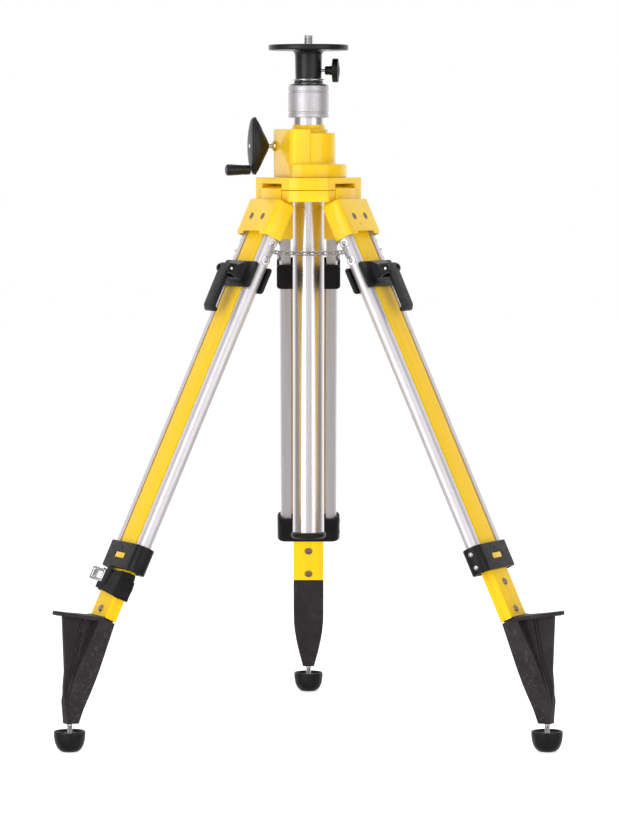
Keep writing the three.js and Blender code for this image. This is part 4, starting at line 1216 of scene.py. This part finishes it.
def bent_wire(side, sign):
    """The wire hanger between a rail's two screws, its apex off the rail."""
    upper, lower = EYES
    middle = (upper + lower) / 2
    stops = [(53.6, upper + 1.5), (55.4, upper + 4.2), (58.5, upper + 8), (APEX - 1.2, middle - 2)]
    stops.append((APEX, middle))
    stops += [(t, 2 * middle - s) for t, s in reversed(stops[:-1])]
    points = [leg_point(side, 0, sign * t, s) / MM for t, s in stops]
    fine = []
    for i in range(len(points) - 1):
        p0, p1 = points[max(i - 1, 0)], points[i]
        p2, p3 = points[i + 1], points[min(i + 2, len(points) - 1)]
        for k in range(4):
            t = k / 4
            square = (2 * p0 - 5 * p1 + 4 * p2 - p3) * t * t
            cube = (3 * p1 - p0 - 3 * p2 + p3) * t ** 3
            fine.append(0.5 * (2 * p1 + (p2 - p0) * t + square + cube))
    fine.append(points[-1])
    return sweep(fine, WIRE_R, 10)


def build_chains():
    order = list(LEGS)
    middle = sum(EYES) / 2
    for index, side in enumerate(order):
        other = order[(index + 1) % len(order)]
        start = leg_point(side, 0, APEX, middle) / MM
        end = leg_point(other, 0, -APEX, middle) / MM
        joints = []
        for i in range(LINKS + 1):
            share = i / LINKS
            joints.append(start.lerp(end, share) - Vector((0, 0, 4 * SAG * share * (1 - share))))
        loops = [link_loop(joints[i], joints[i + 1], 45 if i % 2 else -45) for i in range(LINKS)]
        halves = (("a", side, loops[: LINKS // 2], 1), ("b", other, loops[LINKS // 2 :], -1))
        for letter, leg, links, sign in halves:
            mesh = gathered(*links)
            shade(mesh, 60)
            mesh["shaded"] = True
            mesh.materials.append(CHAIN)
            run = new_object(f"chain_run_{side}_{letter}", mesh)
            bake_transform(run)
            if letter == "a":
                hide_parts(f"chain_{side}_{other}")
            wire = bent_wire(leg, sign)
            piece(f"chain_wire_{leg}_{'ab'[sign < 0]}", wire, leg + "_leg", CHAIN, None, (), 60)


build_head()
build_mast()
build_gearbox()
build_hub()
build_legs()
build_strap()
build_chains()

# CAD nodes that are shown as they are get their finish here.
for node in frame["nodes"].values():
    if not node.hide_render:
        node.data.materials.clear()
        node.data.materials.append(STEEL)


# ---------- stage, in metres ----------
FLOOR_GLOW = 0.65
FLOOR_HALF = 14
FLOOR_Z = -0.0005
ROOM_FRONT = 0.34
ROOM_BACK = 1.25
AIM_HEIGHT = 0.8
# name, azimuth from the front, distance, height, width, length, radiance
SOFTBOXES = [
    ("key_left", -40, 3.2, 1.2, 2.1, 3.2, 2.4),
    ("key_right", 40, 3.2, 1.2, 2.1, 3.2, 1.35),
    ("fill", 0, 7.5, 1.6, 4.6, 5.0, 0.62),
    ("top", 0, 0.4, 3.4, 2.2, 2.2, 1.3),
]


def stage_floor():
    s = Shader("floor", Specular_IOR_Level=0.1, Emission_Color=(1, 1, 1, 1), Emission_Strength=FLOOR_GLOW)
    base = s.colour(s.noise(3, 3), [(0.3, (0.8, 0.8, 0.8)), (0.7, (0.84, 0.84, 0.84))])
    material = s.finish(base, s.remap(s.noise(20, 3), 0.3, 0.7, 0.8, 0.9))
    bm = bmesh.new()
    corners = ((-1, -1), (1, -1), (1, 1), (-1, 1))
    bm.faces.new([bm.verts.new((x * FLOOR_HALF, y * FLOOR_HALF, FLOOR_Z)) for x, y in corners])
    mesh = bpy.data.meshes.new("floor")
    bm.to_mesh(mesh)
    bm.free()
    mesh.materials.append(material)
    floor = new_object("floor", mesh)
    floor.visible_glossy = False


def softbox(name, azimuth, distance, height, width, tall, radiance):
    light = bpy.data.lights.new(name, "AREA")
    light.shape = "RECTANGLE"
    light.size = width
    light.size_y = tall
    light.energy = radiance * pi * width * tall
    obj = new_object(name, light)
    x, y = sin(azimuth * DEG) * distance, -cos(azimuth * DEG) * distance
    obj.location = AXIS + Vector((x, y, height))
    aim = Vector((AXIS.x, AXIS.y, AIM_HEIGHT)) - obj.location
    obj.rotation_euler = aim.to_track_quat("-Z", "Y").to_euler()


def studio_world():
    """White where it is seen directly. As light it is bright behind the object and dim in front."""
    world = bpy.data.worlds.new("studio")
    bpy.context.scene.world = world
    world.use_nodes = True
    nodes, links = world.node_tree.nodes, world.node_tree.links
    background = nodes["Background"]
    direction = nodes.new("ShaderNodeTexCoord")
    split = nodes.new("ShaderNodeSeparateXYZ")
    links.new(direction.outputs["Generated"], split.inputs[0])
    grade = nodes.new("ShaderNodeMapRange")
    grade.interpolation_type = "SMOOTHSTEP"
    for socket, number in zip(RANGE_SOCKETS, (0.2, 0.72, ROOM_FRONT, ROOM_BACK)):
        grade.inputs[socket].default_value = number
    links.new(split.outputs["Y"], grade.inputs["Value"])
    path = nodes.new("ShaderNodeLightPath")
    strength = nodes.new("ShaderNodeMix")
    links.new(path.outputs["Is Camera Ray"], strength.inputs[0])
    links.new(grade.outputs["Result"], strength.inputs[2])
    strength.inputs[3].default_value = 1.0
    links.new(strength.outputs[0], background.inputs["Strength"])
    background.inputs["Color"].default_value = (1, 1, 1, 1)


def build_stage():
    stage_floor()
    studio_world()
    for box in SOFTBOXES:
        softbox(*box)


# ---------- camera ----------
CAMERA_DISTANCE = 6.5
CAMERA_HEIGHT = 1.034
CAMERA_ASIDE = 0.0018
CAMERA_DOWN = 4.061
LENS = 162.83


def build_camera():
    data = bpy.data.cameras.new("camera")
    data.sensor_fit = "VERTICAL"
    data.sensor_height = 36
    data.lens = LENS
    data.clip_end = 100
    camera = new_object("camera", data)
    camera.location = AXIS + Vector((CAMERA_ASIDE, -CAMERA_DISTANCE, CAMERA_HEIGHT))
    camera.rotation_euler = ((90 - CAMERA_DOWN) * DEG, 0, 0)
    bpy.context.scene.camera = camera


build_stage()
build_camera()
bpy.context.scene.view_settings.view_transform = "Standard"
